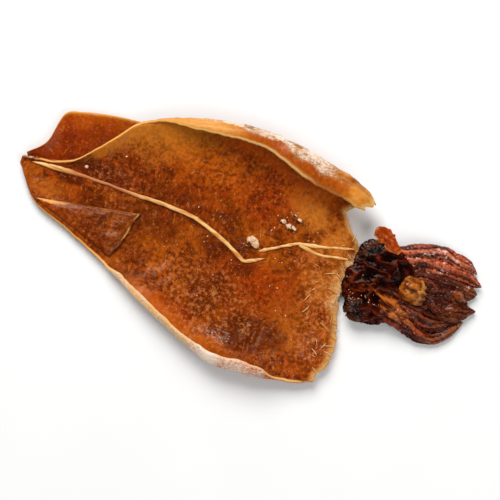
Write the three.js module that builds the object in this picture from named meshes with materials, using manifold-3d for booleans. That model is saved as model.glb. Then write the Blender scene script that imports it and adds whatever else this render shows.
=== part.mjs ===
// A dried squid: the body is slit along the belly, opened out flat with its inside up, and dried, so the
// mantle is a thin curled sheet with a pen line down its middle, two tail fins, and a head with its arms.
// The tail is at x = 0 and the arms point along +X until the whole is centred at the end. Millimetres, +Z up.
import * as THREE from "three";
import { mergeVertices } from "three/addons/utils/BufferGeometryUtils.js";
import Module from "manifold-3d";

const wasm = await Module();
wasm.setup();
const { clamp, degToRad, lerp, smoothstep } = THREE.MathUtils;

// Driving dimensions
const MANTLE_LENGTH = 125;
const MANTLE_THICK = 2.0; // at the keel, where the wall is thickest
const EDGE_THICK = 1.2; // at the slit edges and the tail
const FIN_THICK = 1.1;
const FOLD_THICK = 1.5;
const PEN_WIDTH = 1.5;
const PEN_HEIGHT = 1.3;
const HEAD_LENGTH = 25;
const HEAD_WIDTH = 30;
const HEAD_HEIGHT = 7.4;
const EYE_DIAMETER = 10;
const MOUTH_DIAMETER = 9.6; // the round mouth muscle that holds the beak
const WEB_LENGTH = 32; // the skin between the arms
const WEB_THICK = 3.6;
const ARM_THICK = 6.8; // where it leaves the head
const ARM_TIP_THICK = 3.6; // just before its tip rounds off
const TENTACLE_LENGTH = 23;
const TENTACLE_THICK = 2.8;
const TAB_LENGTH = 12; // a loose tab of skin beside the head
const TAB_WIDTH = 7.2;
const TAB_THICK = 1.0;

// How finely each shape is faceted
const MANTLE_STEPS = { along: 34, across: 30 };
const FIN_STEPS = { along: 12, across: 6 };
const FOLD_STEPS = { along: 10, across: 6 };
const LUMP_STEPS = { round: 16, down: 9 };
const ARM_STEPS = { sides: 7, along: 14 };
const PEN_STEPS = { sides: 6, along: 12 };
const NECK_STEPS = { sides: 12, along: 4 };
const TAB_STEPS = { along: 10, across: 4 };

// Each side of the mantle as [distance from the tail, value]: half-width in plan, height that the wall
// climbs before its edge rolls, radius of that roll, and how far the edge has turned, in degrees.
const UPPER_SIDE = {
  sign: 1,
  edge: through([
    [0, 1.5], [16, 5], [26, 14.5], [35, 25.4], [50, 32.3], [66, 36.6], [80, 37.8], [92, 36.4], [107, 33.5],
    [117, 30.6], [125, 25],
  ]),
  lift: through([[0, 0.4], [16, 2.4], [35, 4.2], [80, 4.6], [125, 3.6]]),
  rollRadius: through([
    [0, 0.9], [35, 1.3], [44, 2.2], [52, 3.2], [64, 4.2], [80, 4.8], [94, 5.9], [110, 5.4], [117, 4.9],
    [125, 2],
  ]),
  rollTurn: through([[0, 45], [35, 90], [50, 170], [64, 186], [80, 192], [94, 206], [112, 207], [125, 195]]),
};
const LOWER_SIDE = {
  sign: -1,
  edge: through([[0, 1.5], [9, 12], [22, 17], [40, 24.4], [58, 32.8], [84, 43], [104, 42.8], [125, 39]]),
  lift: through([[0, 0.4], [20, 1.8], [45, 2.6], [85, 4.2], [125, 2.6]]),
  rollRadius: through([
    [0, 0.9], [38, 1.3], [48, 2.3], [62, 2.4], [80, 3], [94, 3.6], [104, 3.3], [111, 1.8], [125, 1.2],
  ]),
  rollTurn: through([[0, 45], [38, 95], [48, 165], [70, 170], [90, 180], [104, 176], [111, 120], [125, 60]]),
};
const LIFT_POWER = 2.6; // how late the wall starts to climb from the flat keel
const ROLL_SQUASH = 0.7; // a roll's height over its width
const FLAT_SHARE = 2 / 3; // of the steps across one side, those before the roll
const keelHeight = through([[0, 1.4], [20, 0.15], [30, 0], [100, 0], [112, 0.15], [125, 1.2]]);

// How far the torn front edge reaches past the mantle's length, from the lower edge at -1 to the upper at 1.
const frontReach = through([
  [-1, -6], [-0.7, -2], [-0.45, 1], [-0.12, -3], [0.2, 0], [0.53, -11], [0.66, -5], [0.8, -2.5], [1, -7],
]);
const TEAR_DEPTH = 0.9;

// A smooth curve through a few [x, value] pairs, as a function of x.
function through(pairs) {
  const slope = (i) => {
    const before = pairs[Math.max(i - 1, 0)];
    const after = pairs[Math.min(i + 1, pairs.length - 1)];
    return (after[1] - before[1]) / (after[0] - before[0]);
  };
  return (x) => {
    const next = pairs.findIndex(([knot], i) => i > 0 && x <= knot);
    const i = (next < 0 ? pairs.length - 1 : next) - 1;
    const [[x0, y0], [x1, y1]] = [pairs[i], pairs[i + 1]];
    const span = x1 - x0;
    const k = clamp((x - x0) / span, 0, 1);
    const level = lerp(y0, y1, k * k * (3 - 2 * k));
    return level + span * k * (1 - k) * (slope(i) * (1 - k) - slope(i + 1) * k);
  };
}

// A fixed uneven value between -1 and 1 for a count, as no two parts of a dried body are alike.
function uneven(n) {
  return (Math.sin(n * 12.9898) + Math.sin(n * 4.1414)) / 2;
}

// A closed primitive with each vertex moved to where place says.
function reshaped(primitive, place) {
  const shape = primitive.clone();
  shape.deleteAttribute("normal");
  shape.deleteAttribute("uv");
  const positions = shape.getAttribute("position");
  const point = new THREE.Vector3();
  for (let i = 0; i < positions.count; i++) {
    point.fromBufferAttribute(positions, i);
    positions.setXYZ(i, ...place(point).toArray());
  }
  return mergeVertices(shape);
}

// A thin closed sheet: place gets a share along it, a share across it from -1 to 1, and the face, -1 or 1.
function sheet({ along, across }, place) {
  const box = new THREE.BoxGeometry(1, 2, 2, along, across, 1);
  return reshaped(box, ({ x, y, z }) => place(x + 0.5, y, z));
}

// A closed tube along a path. thick gives its width at a share of the length, flatness its height over that.
function limb(points, thick, flatness, { sides, along }) {
  const path = new THREE.CatmullRomCurve3(points);
  const rod = new THREE.CylinderGeometry(1, 1, 1, sides, along);
  const up = new THREE.Vector3(0, 0, 1);
  return reshaped(rod, ({ x, y, z }) => {
    const share = y + 0.5;
    const forward = path.getTangent(share);
    const sideways = new THREE.Vector3().crossVectors(up, forward).normalize();
    const upward = new THREE.Vector3().crossVectors(forward, sideways);
    const half = thick(share) / 2;
    return path
      .getPoint(share)
      .addScaledVector(sideways, z * half)
      .addScaledVector(upward, x * half * flatness);
  });
}

// A lump: a ball stretched to its length, width and height.
function lump(centre, size) {
  const ball = new THREE.SphereGeometry(0.5, LUMP_STEPS.round, LUMP_STEPS.down).rotateX(Math.PI / 2);
  return reshaped(ball, (point) => point.clone().multiply(size).add(centre));
}

// The wall's thickness, which thins towards the tail and towards both slit edges.
function wallThick(x, across) {
  const fromTail = smoothstep(x, 0, 30);
  const fromEdge = 1 - smoothstep(Math.abs(across), 0.45, 0.9);
  return EDGE_THICK + (MANTLE_THICK - EDGE_THICK) * fromTail * fromEdge;
}

// The flat part of one side of the mantle at x: its width, and the angle at which its roll starts.
function flatPart(side, x) {
  const startTurn = Math.atan((LIFT_POWER * side.lift(x)) / side.edge(x));
  return { startTurn, width: side.edge(x) - side.rollRadius(x) * (1 - Math.sin(startTurn)) };
}

// A point on the mantle's wall. Across runs from -1 at the lower edge through 0 at the keel to 1 at the upper.
function mantlePoint(share, across, face) {
  const tear = TEAR_DEPTH * uneven(Math.round(across * 40)) * smoothstep(share, 0.9, 1);
  const x = share * (MANTLE_LENGTH + frontReach(across)) + tear;
  const side = across < 0 ? LOWER_SIDE : UPPER_SIDE;
  const reach = Math.abs(across);
  const { startTurn, width } = flatPart(side, x);
  const section = new THREE.Vector2();
  const normal = new THREE.Vector2();
  if (reach <= FLAT_SHARE) {
    const part = reach / FLAT_SHARE;
    section.set(width * part, side.lift(x) * part ** LIFT_POWER);
    normal.set(-LIFT_POWER * side.lift(x) * part ** (LIFT_POWER - 1), width);
  } else {
    const radius = side.rollRadius(x);
    const endTurn = Math.max(degToRad(side.rollTurn(x)), startTurn);
    const turn = lerp(startTurn, endTurn, (reach - FLAT_SHARE) / (1 - FLAT_SHARE));
    section.set(
      width + radius * (Math.sin(turn) - Math.sin(startTurn)),
      side.lift(x) + ROLL_SQUASH * radius * (Math.cos(startTurn) - Math.cos(turn)),
    );
    normal.set(-ROLL_SQUASH * Math.sin(turn), Math.cos(turn));
  }
  section.addScaledVector(normal.normalize(), (face * wallThick(x, across)) / 2);
  return new THREE.Vector3(x, side.sign * section.x, keelHeight(x) + section.y + MANTLE_THICK / 2);
}

// The height of the mantle's inside at a place on its flat part.
function insideHeight(x, y) {
  const side = y < 0 ? LOWER_SIDE : UPPER_SIDE;
  const part = Math.abs(y) / flatPart(side, x).width;
  const climb = side.lift(x) * part ** LIFT_POWER;
  return keelHeight(x) + climb + (MANTLE_THICK + wallThick(x, part * FLAT_SHARE)) / 2;
}

// The upper fin lies under the mantle's edge and spreads out beyond it, lifting towards its own rim.
const FIN_ROOT = new THREE.LineCurve(new THREE.Vector2(2, 0), new THREE.Vector2(38, 3));
const FIN_RIM = new THREE.SplineCurve(
  [[1, 3], [6.5, 9], [9, 20], [15, 23], [26, 25.5], [38, 27]].map(([x, y]) => new THREE.Vector2(x, y)),
);
const FIN_LIFT = 2.4;
const FIN_THINNING = 0.4; // the share of its thickness that the fin loses towards the rim
function finPoint(share, across, face) {
  const out = (across + 1) / 2;
  const plan = FIN_ROOT.getPoint(share).lerp(FIN_RIM.getPoint(share), out);
  const half = (FIN_THICK * (1 - FIN_THINNING * out)) / 2;
  return new THREE.Vector3(plan.x, plan.y, FIN_THICK / 2 + FIN_LIFT * out ** 2 + face * half);
}

// The lower fin is folded in over the mantle: a triangle from near the tail to its far, free edge, with a
// little air under its middle that lifts it.
const FOLD_TAIL = new THREE.Vector2(9, -11);
const FOLD_INNER = new THREE.Vector2(45.5, -4);
const FOLD_OUTER = new THREE.Vector2(41, -21.5);
const FOLD_BLUNT = 0.08; // the share of its length by which the tail corner is blunt
const FOLD_SWELL = 0.6;
function foldPoint(share, across, face) {
  const far = FOLD_OUTER.clone().lerp(FOLD_INNER, (across + 1) / 2);
  const plan = FOLD_TAIL.clone().lerp(far, lerp(FOLD_BLUNT, 1, share));
  const swell = FOLD_SWELL * (1 - across ** 2) * Math.sin(Math.PI * share);
  const sunk = face < 0 ? -FOLD_THICK / 2 : FOLD_THICK / 2 + swell;
  return new THREE.Vector3(plan.x, plan.y, insideHeight(plan.x, plan.y) + sunk);
}

// The pen line stands up along the keel. It has snapped near the front, where the broken end lies beside the
// rest, and the front part forks.
const PEN_LINES = [
  [[4, 0.6], [20, 1.8], [40, 2], [62, 1.7], [75, -2], [85.5, -7], [92.4, -3.6]],
  [[89.6, -1.8], [101, 5], [112, 7.6], [121, 10.2]],
  [[102, 5], [110, 4.2], [120, 6]],
];
const PEN_END_WIDTH = 0.45; // a share of the full width
const penLines = PEN_LINES.map((line) => {
  const points = line.map(([x, y]) => new THREE.Vector3(x, y, insideHeight(x, y)));
  const width = (share) => PEN_WIDTH * lerp(PEN_END_WIDTH, 1, Math.sqrt(Math.sin(Math.PI * share)));
  return limb(points, width, PEN_HEIGHT / PEN_WIDTH, PEN_STEPS);
});

// The head is opened out too: a shrunken eye at each side of the neck, and the mouth bare between the arms,
// over the web of skin that their roots share.
const HEAD_CENTRE = new THREE.Vector3(MANTLE_LENGTH + 8.5, 2, HEAD_HEIGHT / 2);
const fromHead = (x, y, z) => HEAD_CENTRE.clone().add(new THREE.Vector3(x, y, z));
const eyeSize = new THREE.Vector3(EYE_DIAMETER, EYE_DIAMETER * 0.9, EYE_DIAMETER * 0.5);
const mouthSize = new THREE.Vector3(MOUTH_DIAMETER * 1.2, MOUTH_DIAMETER, MOUTH_DIAMETER * 0.8);
const webSize = new THREE.Vector3(WEB_LENGTH, HEAD_WIDTH * 0.9, WEB_THICK);
const headLumps = [
  lump(HEAD_CENTRE, new THREE.Vector3(HEAD_LENGTH, HEAD_WIDTH, HEAD_HEIGHT)),
  lump(fromHead(-6, HEAD_WIDTH * 0.31, 0.9), eyeSize),
  lump(fromHead(-4.5, -HEAD_WIDTH * 0.36, 0.7), eyeSize),
  lump(fromHead(11, 1.5, 1), mouthSize),
  lump(fromHead(15, 1.5, (WEB_THICK - HEAD_HEIGHT) / 2), webSize),
];

// The neck is a flat strap from under the mantle's front edge to the middle of the head.
const NECK_WIDTHS = [12, 22];
const NECK_FLATNESS = 0.17;
const neck = limb(
  [fromHead(-20, 2, -2.4), fromHead(-10, 1, -1.8), fromHead(0, 0, 0)],
  (share) => lerp(...NECK_WIDTHS, share),
  NECK_FLATNESS,
  NECK_STEPS,
);

// A path from a root to a tip: a straight line that bows to its left, sways from side to side and curls at its
// tip, by the given millimetres, while it sinks from the root's height to the tip's.
const PATH_STEPS = 12;
function armPath({ root, tip, bow, sway, curl }) {
  const left = new THREE.Vector3(root.y - tip.y, tip.x - root.x, 0).normalize();
  const points = [];
  for (let i = 0; i <= PATH_STEPS; i++) {
    const share = i / PATH_STEPS;
    const swayed = bow * Math.sin(Math.PI * share) + sway * Math.sin(2 * Math.PI * share);
    const aside = swayed + curl * smoothstep(share, ...CURL_SHARES);
    const point = root.clone().lerp(tip, share).addScaledVector(left, aside);
    point.z = lerp(root.z, tip.z, smoothstep(share, 0.1, 0.8));
    points.push(point);
  }
  return points;
}

// The arms lie packed together side by side, from the upper side of the mouth round to the lower side. The
// inner ones lie lowest, so the mouth sits in a hollow, and the lowest one hooks back up round the tips of the
// rest. Each pair of values is for the innermost and the outermost arms.
const ARM_COUNT = 8;
const ARM_FLATNESS = 0.8;
const ARM_ROOT = 0.55; // the share of its thickness that an arm has at its root, inside the head
const ARM_END = 0.4; // and at its very tip
const ROOT_REACH = [8.5, 2]; // past the head's middle
const TIP_REACH = [33.5, 31.5];
const ROOT_HEIGHT = [2.7, 3.8];
const TIP_HEIGHT = [2, 1.6];
const ROOT_SPREAD = { middle: 2, half: 10.5 }; // across the body, from the head's middle
const TIP_SPREAD = { middle: 4, half: 11.5 };
const ARM_BOW = 2; // outwards, for the outermost arms
const ARM_CURL = -3.5;
const HOOK = { bow: -2, curl: 5 }; // of the lowest arm, beside its own
const UNEVEN = { reach: 2.2, across: 1, bow: 0.6, sway: 0.9, curl: 1.2 }; // how far the arms differ
const CURL_SHARES = [0.7, 1.15]; // where along an arm its curl starts, and past its tip, where it would end
function armThick(share) {
  const ends = lerp(ARM_ROOT, 1, smoothstep(share, 0, 0.2)) * lerp(1, ARM_END, smoothstep(share, 0.85, 1));
  return lerp(ARM_THICK, ARM_TIP_THICK, share) * ends;
}
const arms = [];
for (let n = 0; n < ARM_COUNT; n++) {
  const spread = 1 - (2 * n) / (ARM_COUNT - 1); // 1 for the uppermost arm, -1 for the lowest
  const outward = Math.abs(spread);
  const hooked = n === ARM_COUNT - 1 ? 1 : 0;
  const root = fromHead(lerp(...ROOT_REACH, outward), ROOT_SPREAD.middle + ROOT_SPREAD.half * spread, 0);
  root.z = lerp(...ROOT_HEIGHT, outward);
  const tipReach = lerp(...TIP_REACH, outward) + UNEVEN.reach * uneven(n + 1);
  const tipAcross = TIP_SPREAD.middle + TIP_SPREAD.half * spread + UNEVEN.across * uneven(n + 5);
  const tip = fromHead(tipReach, tipAcross, 0);
  tip.z = lerp(...TIP_HEIGHT, outward);
  const bow = ARM_BOW * spread + UNEVEN.bow * uneven(n + 9) + HOOK.bow * hooked;
  const sway = UNEVEN.sway * uneven(n + 13);
  const curl = ARM_CURL * spread + UNEVEN.curl * uneven(n + 17) + HOOK.curl * hooked;
  arms.push(limb(armPath({ root, tip, bow, sway, curl }), armThick, ARM_FLATNESS, ARM_STEPS));
}

// Two thin tentacles lie in the hollow between the arms and swell into a club before the tip.
const CLUB_SWELL = 0.9;
for (const side of [1, -1]) {
  const root = fromHead(HEAD_LENGTH * 0.3, side * 2.5, 1.2);
  const tip = fromHead(HEAD_LENGTH * 0.3 + TENTACLE_LENGTH, 3 + side * 4, 0);
  tip.z = (TENTACLE_THICK * (1 + CLUB_SWELL) * ARM_FLATNESS) / 2;
  const path = armPath({ root, tip, bow: side * 1.2, sway: side * 1.5, curl: side * -3 });
  const club = (share) => 1 + CLUB_SWELL * Math.exp(-(((share - 0.86) / 0.08) ** 2));
  const thick = (share) => TENTACLE_THICK * club(share) * (1 - 0.6 * smoothstep(share, 0.9, 1));
  arms.push(limb(path, thick, ARM_FLATNESS, ARM_STEPS));
}

// The tab of skin is a drop-shaped sheet with its sides curled up. Its narrow root sinks into the head.
const TAB_MIDDLE = new THREE.Vector3(130.8, 17.2, 5.8);
const TAB_HEADING = degToRad(150);
const TAB_SLOPE = 1.2; // how far it falls from root to tip
const TAB_CURL = 0.8;
const TAB_SINK = 1.6;
function tabPoint(share, across, face) {
  const drop = Math.sin(Math.PI * lerp(0.04, 0.98, share ** 1.5)) ** 0.75;
  const plan = new THREE.Vector2((share - 0.5) * TAB_LENGTH, (across * TAB_WIDTH * drop) / 2);
  plan.rotateAround(new THREE.Vector2(), TAB_HEADING);
  const sunk = TAB_SINK * (1 - smoothstep(share, 0, 0.35));
  const height = TAB_CURL * across ** 2 * drop - TAB_SLOPE * (share - 0.5) - sunk;
  return new THREE.Vector3(plan.x, plan.y, height + (face * TAB_THICK) / 2).add(TAB_MIDDLE);
}

// The squid is one piece of flesh, so every shape is joined into one solid.
function solidOf(shape) {
  const mesh = new wasm.Mesh({
    numProp: 3,
    vertProperties: new Float32Array(shape.getAttribute("position").array),
    triVerts: new Uint32Array(shape.index.array),
  });
  return new wasm.Manifold(mesh);
}

const shapes = [
  sheet(MANTLE_STEPS, mantlePoint),
  sheet(FIN_STEPS, finPoint),
  sheet(FOLD_STEPS, foldPoint),
  ...penLines,
  neck,
  ...headLumps,
  ...arms,
  sheet(TAB_STEPS, tabPoint),
];
const joined = shapes.map(solidOf).reduce((whole, next) => whole.add(next));
const { vertProperties, triVerts } = joined.getMesh();
const flesh = new THREE.BufferGeometry();
flesh.setAttribute("position", new THREE.BufferAttribute(vertProperties, 3));
flesh.setIndex(new THREE.BufferAttribute(triVerts, 1));
flesh.computeVertexNormals();
flesh.computeBoundingBox();

const driedFlesh = new THREE.MeshStandardMaterial({ color: 0x8f4a14, roughness: 0.45, metalness: 0 });
const driedSquid = new THREE.Mesh(flesh, driedFlesh);
driedSquid.name = "dried_squid";

// The part's origin is the middle of its footprint, on the surface that it lies on.
const middle = flesh.boundingBox.getCenter(new THREE.Vector3());
driedSquid.position.set(-middle.x, -middle.y, -flesh.boundingBox.min.z);

const part = new THREE.Group();
part.add(driedSquid);

export default part;
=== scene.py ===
import math

import bpy
import numpy as np
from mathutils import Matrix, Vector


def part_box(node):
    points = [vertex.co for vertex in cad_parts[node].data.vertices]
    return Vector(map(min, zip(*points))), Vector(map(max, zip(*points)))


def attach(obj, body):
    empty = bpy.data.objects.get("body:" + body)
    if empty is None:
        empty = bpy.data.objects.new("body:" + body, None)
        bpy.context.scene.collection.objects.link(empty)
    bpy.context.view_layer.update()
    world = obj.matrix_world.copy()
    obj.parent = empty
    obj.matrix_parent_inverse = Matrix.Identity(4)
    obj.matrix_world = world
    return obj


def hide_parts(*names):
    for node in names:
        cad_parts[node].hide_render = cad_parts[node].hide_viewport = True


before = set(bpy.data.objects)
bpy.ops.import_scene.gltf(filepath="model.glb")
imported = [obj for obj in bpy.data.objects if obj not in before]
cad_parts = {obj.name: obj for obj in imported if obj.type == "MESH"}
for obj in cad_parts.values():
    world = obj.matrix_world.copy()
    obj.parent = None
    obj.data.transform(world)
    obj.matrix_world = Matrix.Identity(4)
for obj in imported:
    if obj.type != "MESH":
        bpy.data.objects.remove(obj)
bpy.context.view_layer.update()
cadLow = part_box("dried_squid")[0]

# All shapes below are in millimetres from the tail tip: x to the arms, y across, z up from the table.
perMetre = 1000  # millimetres in a metre
keelInset = 44.31  # from the solid's lower side in to its keel
bodyFrame = {"tailX": cadLow.x * perMetre, "keelY": cadLow.y * perMetre + keelInset, "tableZ": cadLow.z * perMetre}


# numbers and noise

def smoothstep(x, low, high):
    # S-curve from 0 at low to 1 at high
    t = np.clip((x - low) / (high - low), 0, 1)
    return t * t * (3 - 2 * t)


def window(x, rise, fall):
    # 1 between the two pairs of distances, with S-curves at both ends
    return smoothstep(x, *rise) * (1 - smoothstep(x, *fall))


def through(x, knots):
    # smooth curve through a few (x, value) knots: cubic pieces whose slope at a knot is that of the line
    # between its two neighbours
    kx, ky = np.array(knots, float).T
    at = np.arange(len(kx))
    before, after = np.maximum(at - 1, 0), np.minimum(at + 1, len(kx) - 1)
    slope = (ky[after] - ky[before]) / (kx[after] - kx[before])
    i = np.clip(np.searchsorted(kx, x) - 1, 0, len(kx) - 2)
    span = kx[i + 1] - kx[i]
    t = np.clip((x - kx[i]) / span, 0, 1)
    level = ky[i] + (ky[i + 1] - ky[i]) * t * t * (3 - 2 * t)
    return level + span * t * (1 - t) * (slope[i] * (1 - t) - slope[i + 1] * t)


def uneven(n):
    # a fixed uneven value between -1 and 1 for a count: the mean of two sines that never line up
    return (math.sin(n * 12.9898) + math.sin(n * 4.1414)) / 2


def cellValue(cell, seed):
    # scrambles whole-number cell coordinates into a fixed value between -1 and 1
    c = cell.astype(np.uint32)
    mixed = c[..., 0] * np.uint32(374761393) + c[..., 1] * np.uint32(668265263) + c[..., 2] * np.uint32(2246822519)
    mixed = mixed + np.uint32((seed * 974634543 + 12345) % 2**32)
    mixed = (mixed ^ (mixed >> np.uint32(13))) * np.uint32(1274126177)
    mixed = (mixed ^ (mixed >> np.uint32(15))) * np.uint32(2654435761)
    return (mixed ^ (mixed >> np.uint32(16))) / 2147483648.0 - 1


def noise(points, size, seed):
    # blends the values at the eight corners of the cell around each point along S-curves
    p = points / size
    base = np.floor(p)
    f = p - base
    f = f * f * (3 - 2 * f)
    total = 0
    for corner in np.ndindex(2, 2, 2):
        weight = np.prod(np.where(np.array(corner), f, 1 - f), axis=-1)
        total = total + weight * cellValue((base + corner).astype(np.int64), seed)
    return total


def layeredNoise(points, size, layers, seed):
    # noise plus finer noise, each layer half the size and a little over half the height of the last
    return sum(0.55**k * noise(points, size / 2**k, seed + k) for k in range(layers))


def planNoise(x, y, size, layers, seed):
    # layered noise over the plan alone
    return layeredNoise(np.stack([x, y, np.zeros_like(x)], -1), size, layers, seed)


def ridgedNoise(points, size, layers, seed):
    # sharp-crested folds: one minus the noise's size, near 1 on the crest
    return 1 - np.abs(layeredNoise(points, size, layers, seed))


def straightThrough(x, knots):
    # straight lines between a few (x, value) knots
    return np.interp(x, *zip(*knots))


def between(pair, share):
    # the value that lies a share of the way from the first of a pair to the second
    return pair[0] + (pair[1] - pair[0]) * share


def strongest(*masks):
    # the largest of several masks at each point
    return np.maximum.reduce(masks)


def gridOf(first, second):
    # two arrays over one grid: the first set of values runs down its rows, the second across its columns
    return np.meshgrid(first, second, indexing="ij")


def fullTurn(count):
    # equal angles round a circle
    return np.linspace(0, 2 * np.pi, count, endpoint=False)


def curvePoints(points, share):
    # smooth curve through points: each stretch is a cubic whose end slopes are half the step between the points on
    # either side
    p = np.array(points, float)
    ends = np.vstack([2 * p[0] - p[1], p, 2 * p[-1] - p[-2]])
    k = np.asarray(share) * (len(p) - 1)
    i = np.clip(np.floor(k).astype(int), 0, len(p) - 2)
    t = (k - i)[..., None]
    p0, p1, p2, p3 = ends[i], ends[i + 1], ends[i + 2], ends[i + 3]
    bend = 2 * p0 - 5 * p1 + 4 * p2 - p3
    return 0.5 * (2 * p1 + (p2 - p0) * t + bend * t**2 + (3 * p1 - p0 - 3 * p2 + p3) * t**3)


# meshes

def placed(points):
    # millimetres from the tail to metres in the part's frame
    shift = np.array([bodyFrame["tailX"], bodyFrame["keelY"], bodyFrame["tableZ"]])
    return (points.reshape(-1, 3) + shift) / perMetre


def gridQuads(rows, cols, closed=False):
    # four corners for each cell of a grid whose points run row by row, joined round if closed
    index = np.arange(rows * cols).reshape(rows, cols)
    if closed:
        index = np.hstack([index, index[:, :1]])
    return np.stack([index[:-1, :-1], index[1:, :-1], index[1:, 1:], index[:-1, 1:]], -1).reshape(-1, 4)


def makePiece(name, points, faces, material, masks=None):
    # one object from points in millimetres, a list of face arrays, and a value for each point in each mask
    mesh = bpy.data.meshes.new(name)
    coords = placed(points)
    sizes = np.concatenate([np.full(len(f), f.shape[1]) for f in faces])
    corners = np.concatenate([f.ravel() for f in faces]).astype(np.int32)
    mesh.vertices.add(len(coords))
    mesh.vertices.foreach_set("co", coords.ravel().astype(np.float32))
    mesh.loops.add(len(corners))
    mesh.loops.foreach_set("vertex_index", corners)
    mesh.polygons.add(len(sizes))
    mesh.polygons.foreach_set("loop_start", (np.cumsum(sizes) - sizes).astype(np.int32))
    mesh.update(calc_edges=True)
    mesh.validate()
    mesh.polygons.foreach_set("use_smooth", np.ones(len(mesh.polygons), bool))
    for maskName, values in (masks or {}).items():
        layer = mesh.attributes.new(maskName, "FLOAT", "POINT")
        layer.data.foreach_set("value", np.asarray(values, np.float32).ravel())
    mesh.materials.append(material)
    piece = bpy.data.objects.new(name, mesh)
    bpy.context.scene.collection.objects.link(piece)
    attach(piece, "root")
    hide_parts("dried_squid")
    print("made", name, len(mesh.polygons), "faces")


def sheetFaces(rows, cols):
    # faces of a closed sheet: the upper grid, the lower grid turned over, and a rim between their borders
    upper = gridQuads(rows, cols)
    lower = upper[:, ::-1] + rows * cols
    index = np.arange(rows * cols).reshape(rows, cols)
    border = np.concatenate([index[0, :-1], index[:-1, -1], index[-1, :0:-1], index[:0:-1, 0]])
    following = np.roll(border, -1)
    rim = np.stack([border, following, following + rows * cols, border + rows * cols], -1)
    return [upper, lower, rim]


def tubeFaces(rows, cols):
    # faces of a closed tube: the wall, and a fan at each end round a middle point that follows the wall's points
    wall = gridQuads(rows, cols, closed=True)[:, ::-1]
    ring = np.arange(cols)
    following = np.roll(ring, -1)
    first, last, lastRing = rows * cols, rows * cols + 1, (rows - 1) * cols
    start = np.stack([np.full(cols, first), following, ring], -1)
    finish = np.stack([np.full(cols, last), ring + lastRing, following + lastRing], -1)
    return [wall, start, finish]


def closedTube(ring, path, masks):
    # a tube's points with its two end middles, and its masks carried to them
    points = np.concatenate([ring.reshape(-1, 3), path[:1], path[-1:]])
    full = {key: np.concatenate([v.ravel(), v[0, :1], v[-1, :1]]) for key, v in masks.items()}
    return {"points": points, "faces": tubeFaces(*ring.shape[:2]), "masks": full}


def joinParts(parts):
    # one set of points, faces and masks from several parts
    points, faces, masks, used = [], [], {}, 0
    for part in parts:
        flat = part["points"].reshape(-1, 3)
        points.append(flat)
        faces += [f + used for f in part["faces"]]
        for key, values in part["masks"].items():
            masks.setdefault(key, []).append(np.asarray(values, float).ravel())
        used += len(flat)
    return np.concatenate(points), faces, {key: np.concatenate(v) for key, v in masks.items()}


def makeJoined(name, parts, material):
    # one object from several parts
    points, faces, masks = joinParts(parts)
    makePiece(name, points, faces, material, masks)


def makeSheet(name, faces, masks):
    # a closed sheet of flesh from the point grids of its upper and lower face, with a set of masks for each
    shape = faces[0].shape[:2]
    full = {}
    for key in masks[0]:
        full[key] = np.concatenate([np.broadcast_to(part.get(key, 0.0), shape).ravel() for part in masks])
    points = np.concatenate([face.reshape(-1, 3) for face in faces])
    makePiece(name, points, sheetFaces(*shape), finishes["flesh"], full)


def manyTubes(rings, middles):
    # many copies of one small tube: points by copy, row, column and axis, and two end middles for each copy
    count, rows, cols, _ = rings.shape
    points = np.concatenate([rings.reshape(count, -1, 3), middles], 1)
    offset = (np.arange(count) * points.shape[1])[:, None, None]
    faces = [(f[None] + offset).reshape(-1, f.shape[1]) for f in tubeFaces(rows, cols)]
    return points.reshape(-1, 3), faces


def sweep(path, sideways, upward, cols):
    # a ring of points round each path point: cosine along sideways and sine along upward
    angle = fullTurn(cols)[:, None]
    return path[:, None] + sideways[:, None] * np.cos(angle) + upward[:, None] * np.sin(angle)


def pathFrame(path):
    # unit directions level across a path, and square to it and to that
    forward = np.gradient(path, axis=0)
    forward /= np.linalg.norm(forward, axis=1, keepdims=True)
    sideways = np.cross([0, 0, 1], forward)
    sideways /= np.linalg.norm(sideways, axis=1, keepdims=True)
    return sideways, np.cross(forward, sideways)


def ballGrid(rows, cols):
    # unit directions of a ball by height angle and turn, without the two poles
    rise, turn = gridOf(np.linspace(-np.pi / 2, np.pi / 2, rows + 2)[1:-1], fullTurn(cols))
    return np.stack([np.cos(rise) * np.cos(turn), np.cos(rise) * np.sin(turn), np.sin(rise)], -1)


def ballPart(centre, size, rows, cols, swelling):
    # a ball stretched to its size, each direction pushed out by the swelling, with the poles closed by fans
    way = ballGrid(rows, cols)
    push, masks = swelling(way)
    points = np.array(centre) + way * np.array(size) / 2 * (1 + push)[..., None]
    poles = np.stack([points[0].mean(0), points[-1].mean(0)])
    full = {key: np.concatenate([v.ravel(), [v[0].mean(), v[-1].mean()]]) for key, v in masks.items()}
    return {"points": np.concatenate([points.reshape(-1, 3), poles]), "faces": tubeFaces(rows, cols), "masks": full}


# finishes

def srgb(red, green, blue):
    # screen colour from 0 to 255 to the linear colour that a shader takes
    c = np.array([red, green, blue]) / 255
    linear = np.where(c <= 0.04045, c / 12.92, ((c + 0.055) / 1.055) ** 2.4)
    return (*linear, 1.0)


def addNode(tree, kind, inputs=None, **settings):
    # a node with its settings, and each input set to a value or linked to a socket
    made = tree.nodes.new(kind)
    for key, value in settings.items():
        setattr(made, key, value)
    for key, value in (inputs or {}).items():
        if isinstance(value, bpy.types.NodeSocket):
            tree.links.new(value, made.inputs[key])
        else:
            made.inputs[key].default_value = value
    return made


def mixColours(tree, share, first, second):
    # from the first colour to the second by the share; 0, 6 and 7 are the mix node's sockets for them
    sockets = {0: share, 6: first, 7: second}
    return addNode(tree, "ShaderNodeMix", sockets, data_type="RGBA").outputs[2]


def mathOf(tree, operation, *values, clamp=False):
    # one operation on numbers or sockets, held between 0 and 1 if clamped
    inputs = dict(enumerate(values))
    return addNode(tree, "ShaderNodeMath", inputs, operation=operation, use_clamp=clamp).outputs[0]


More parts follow.
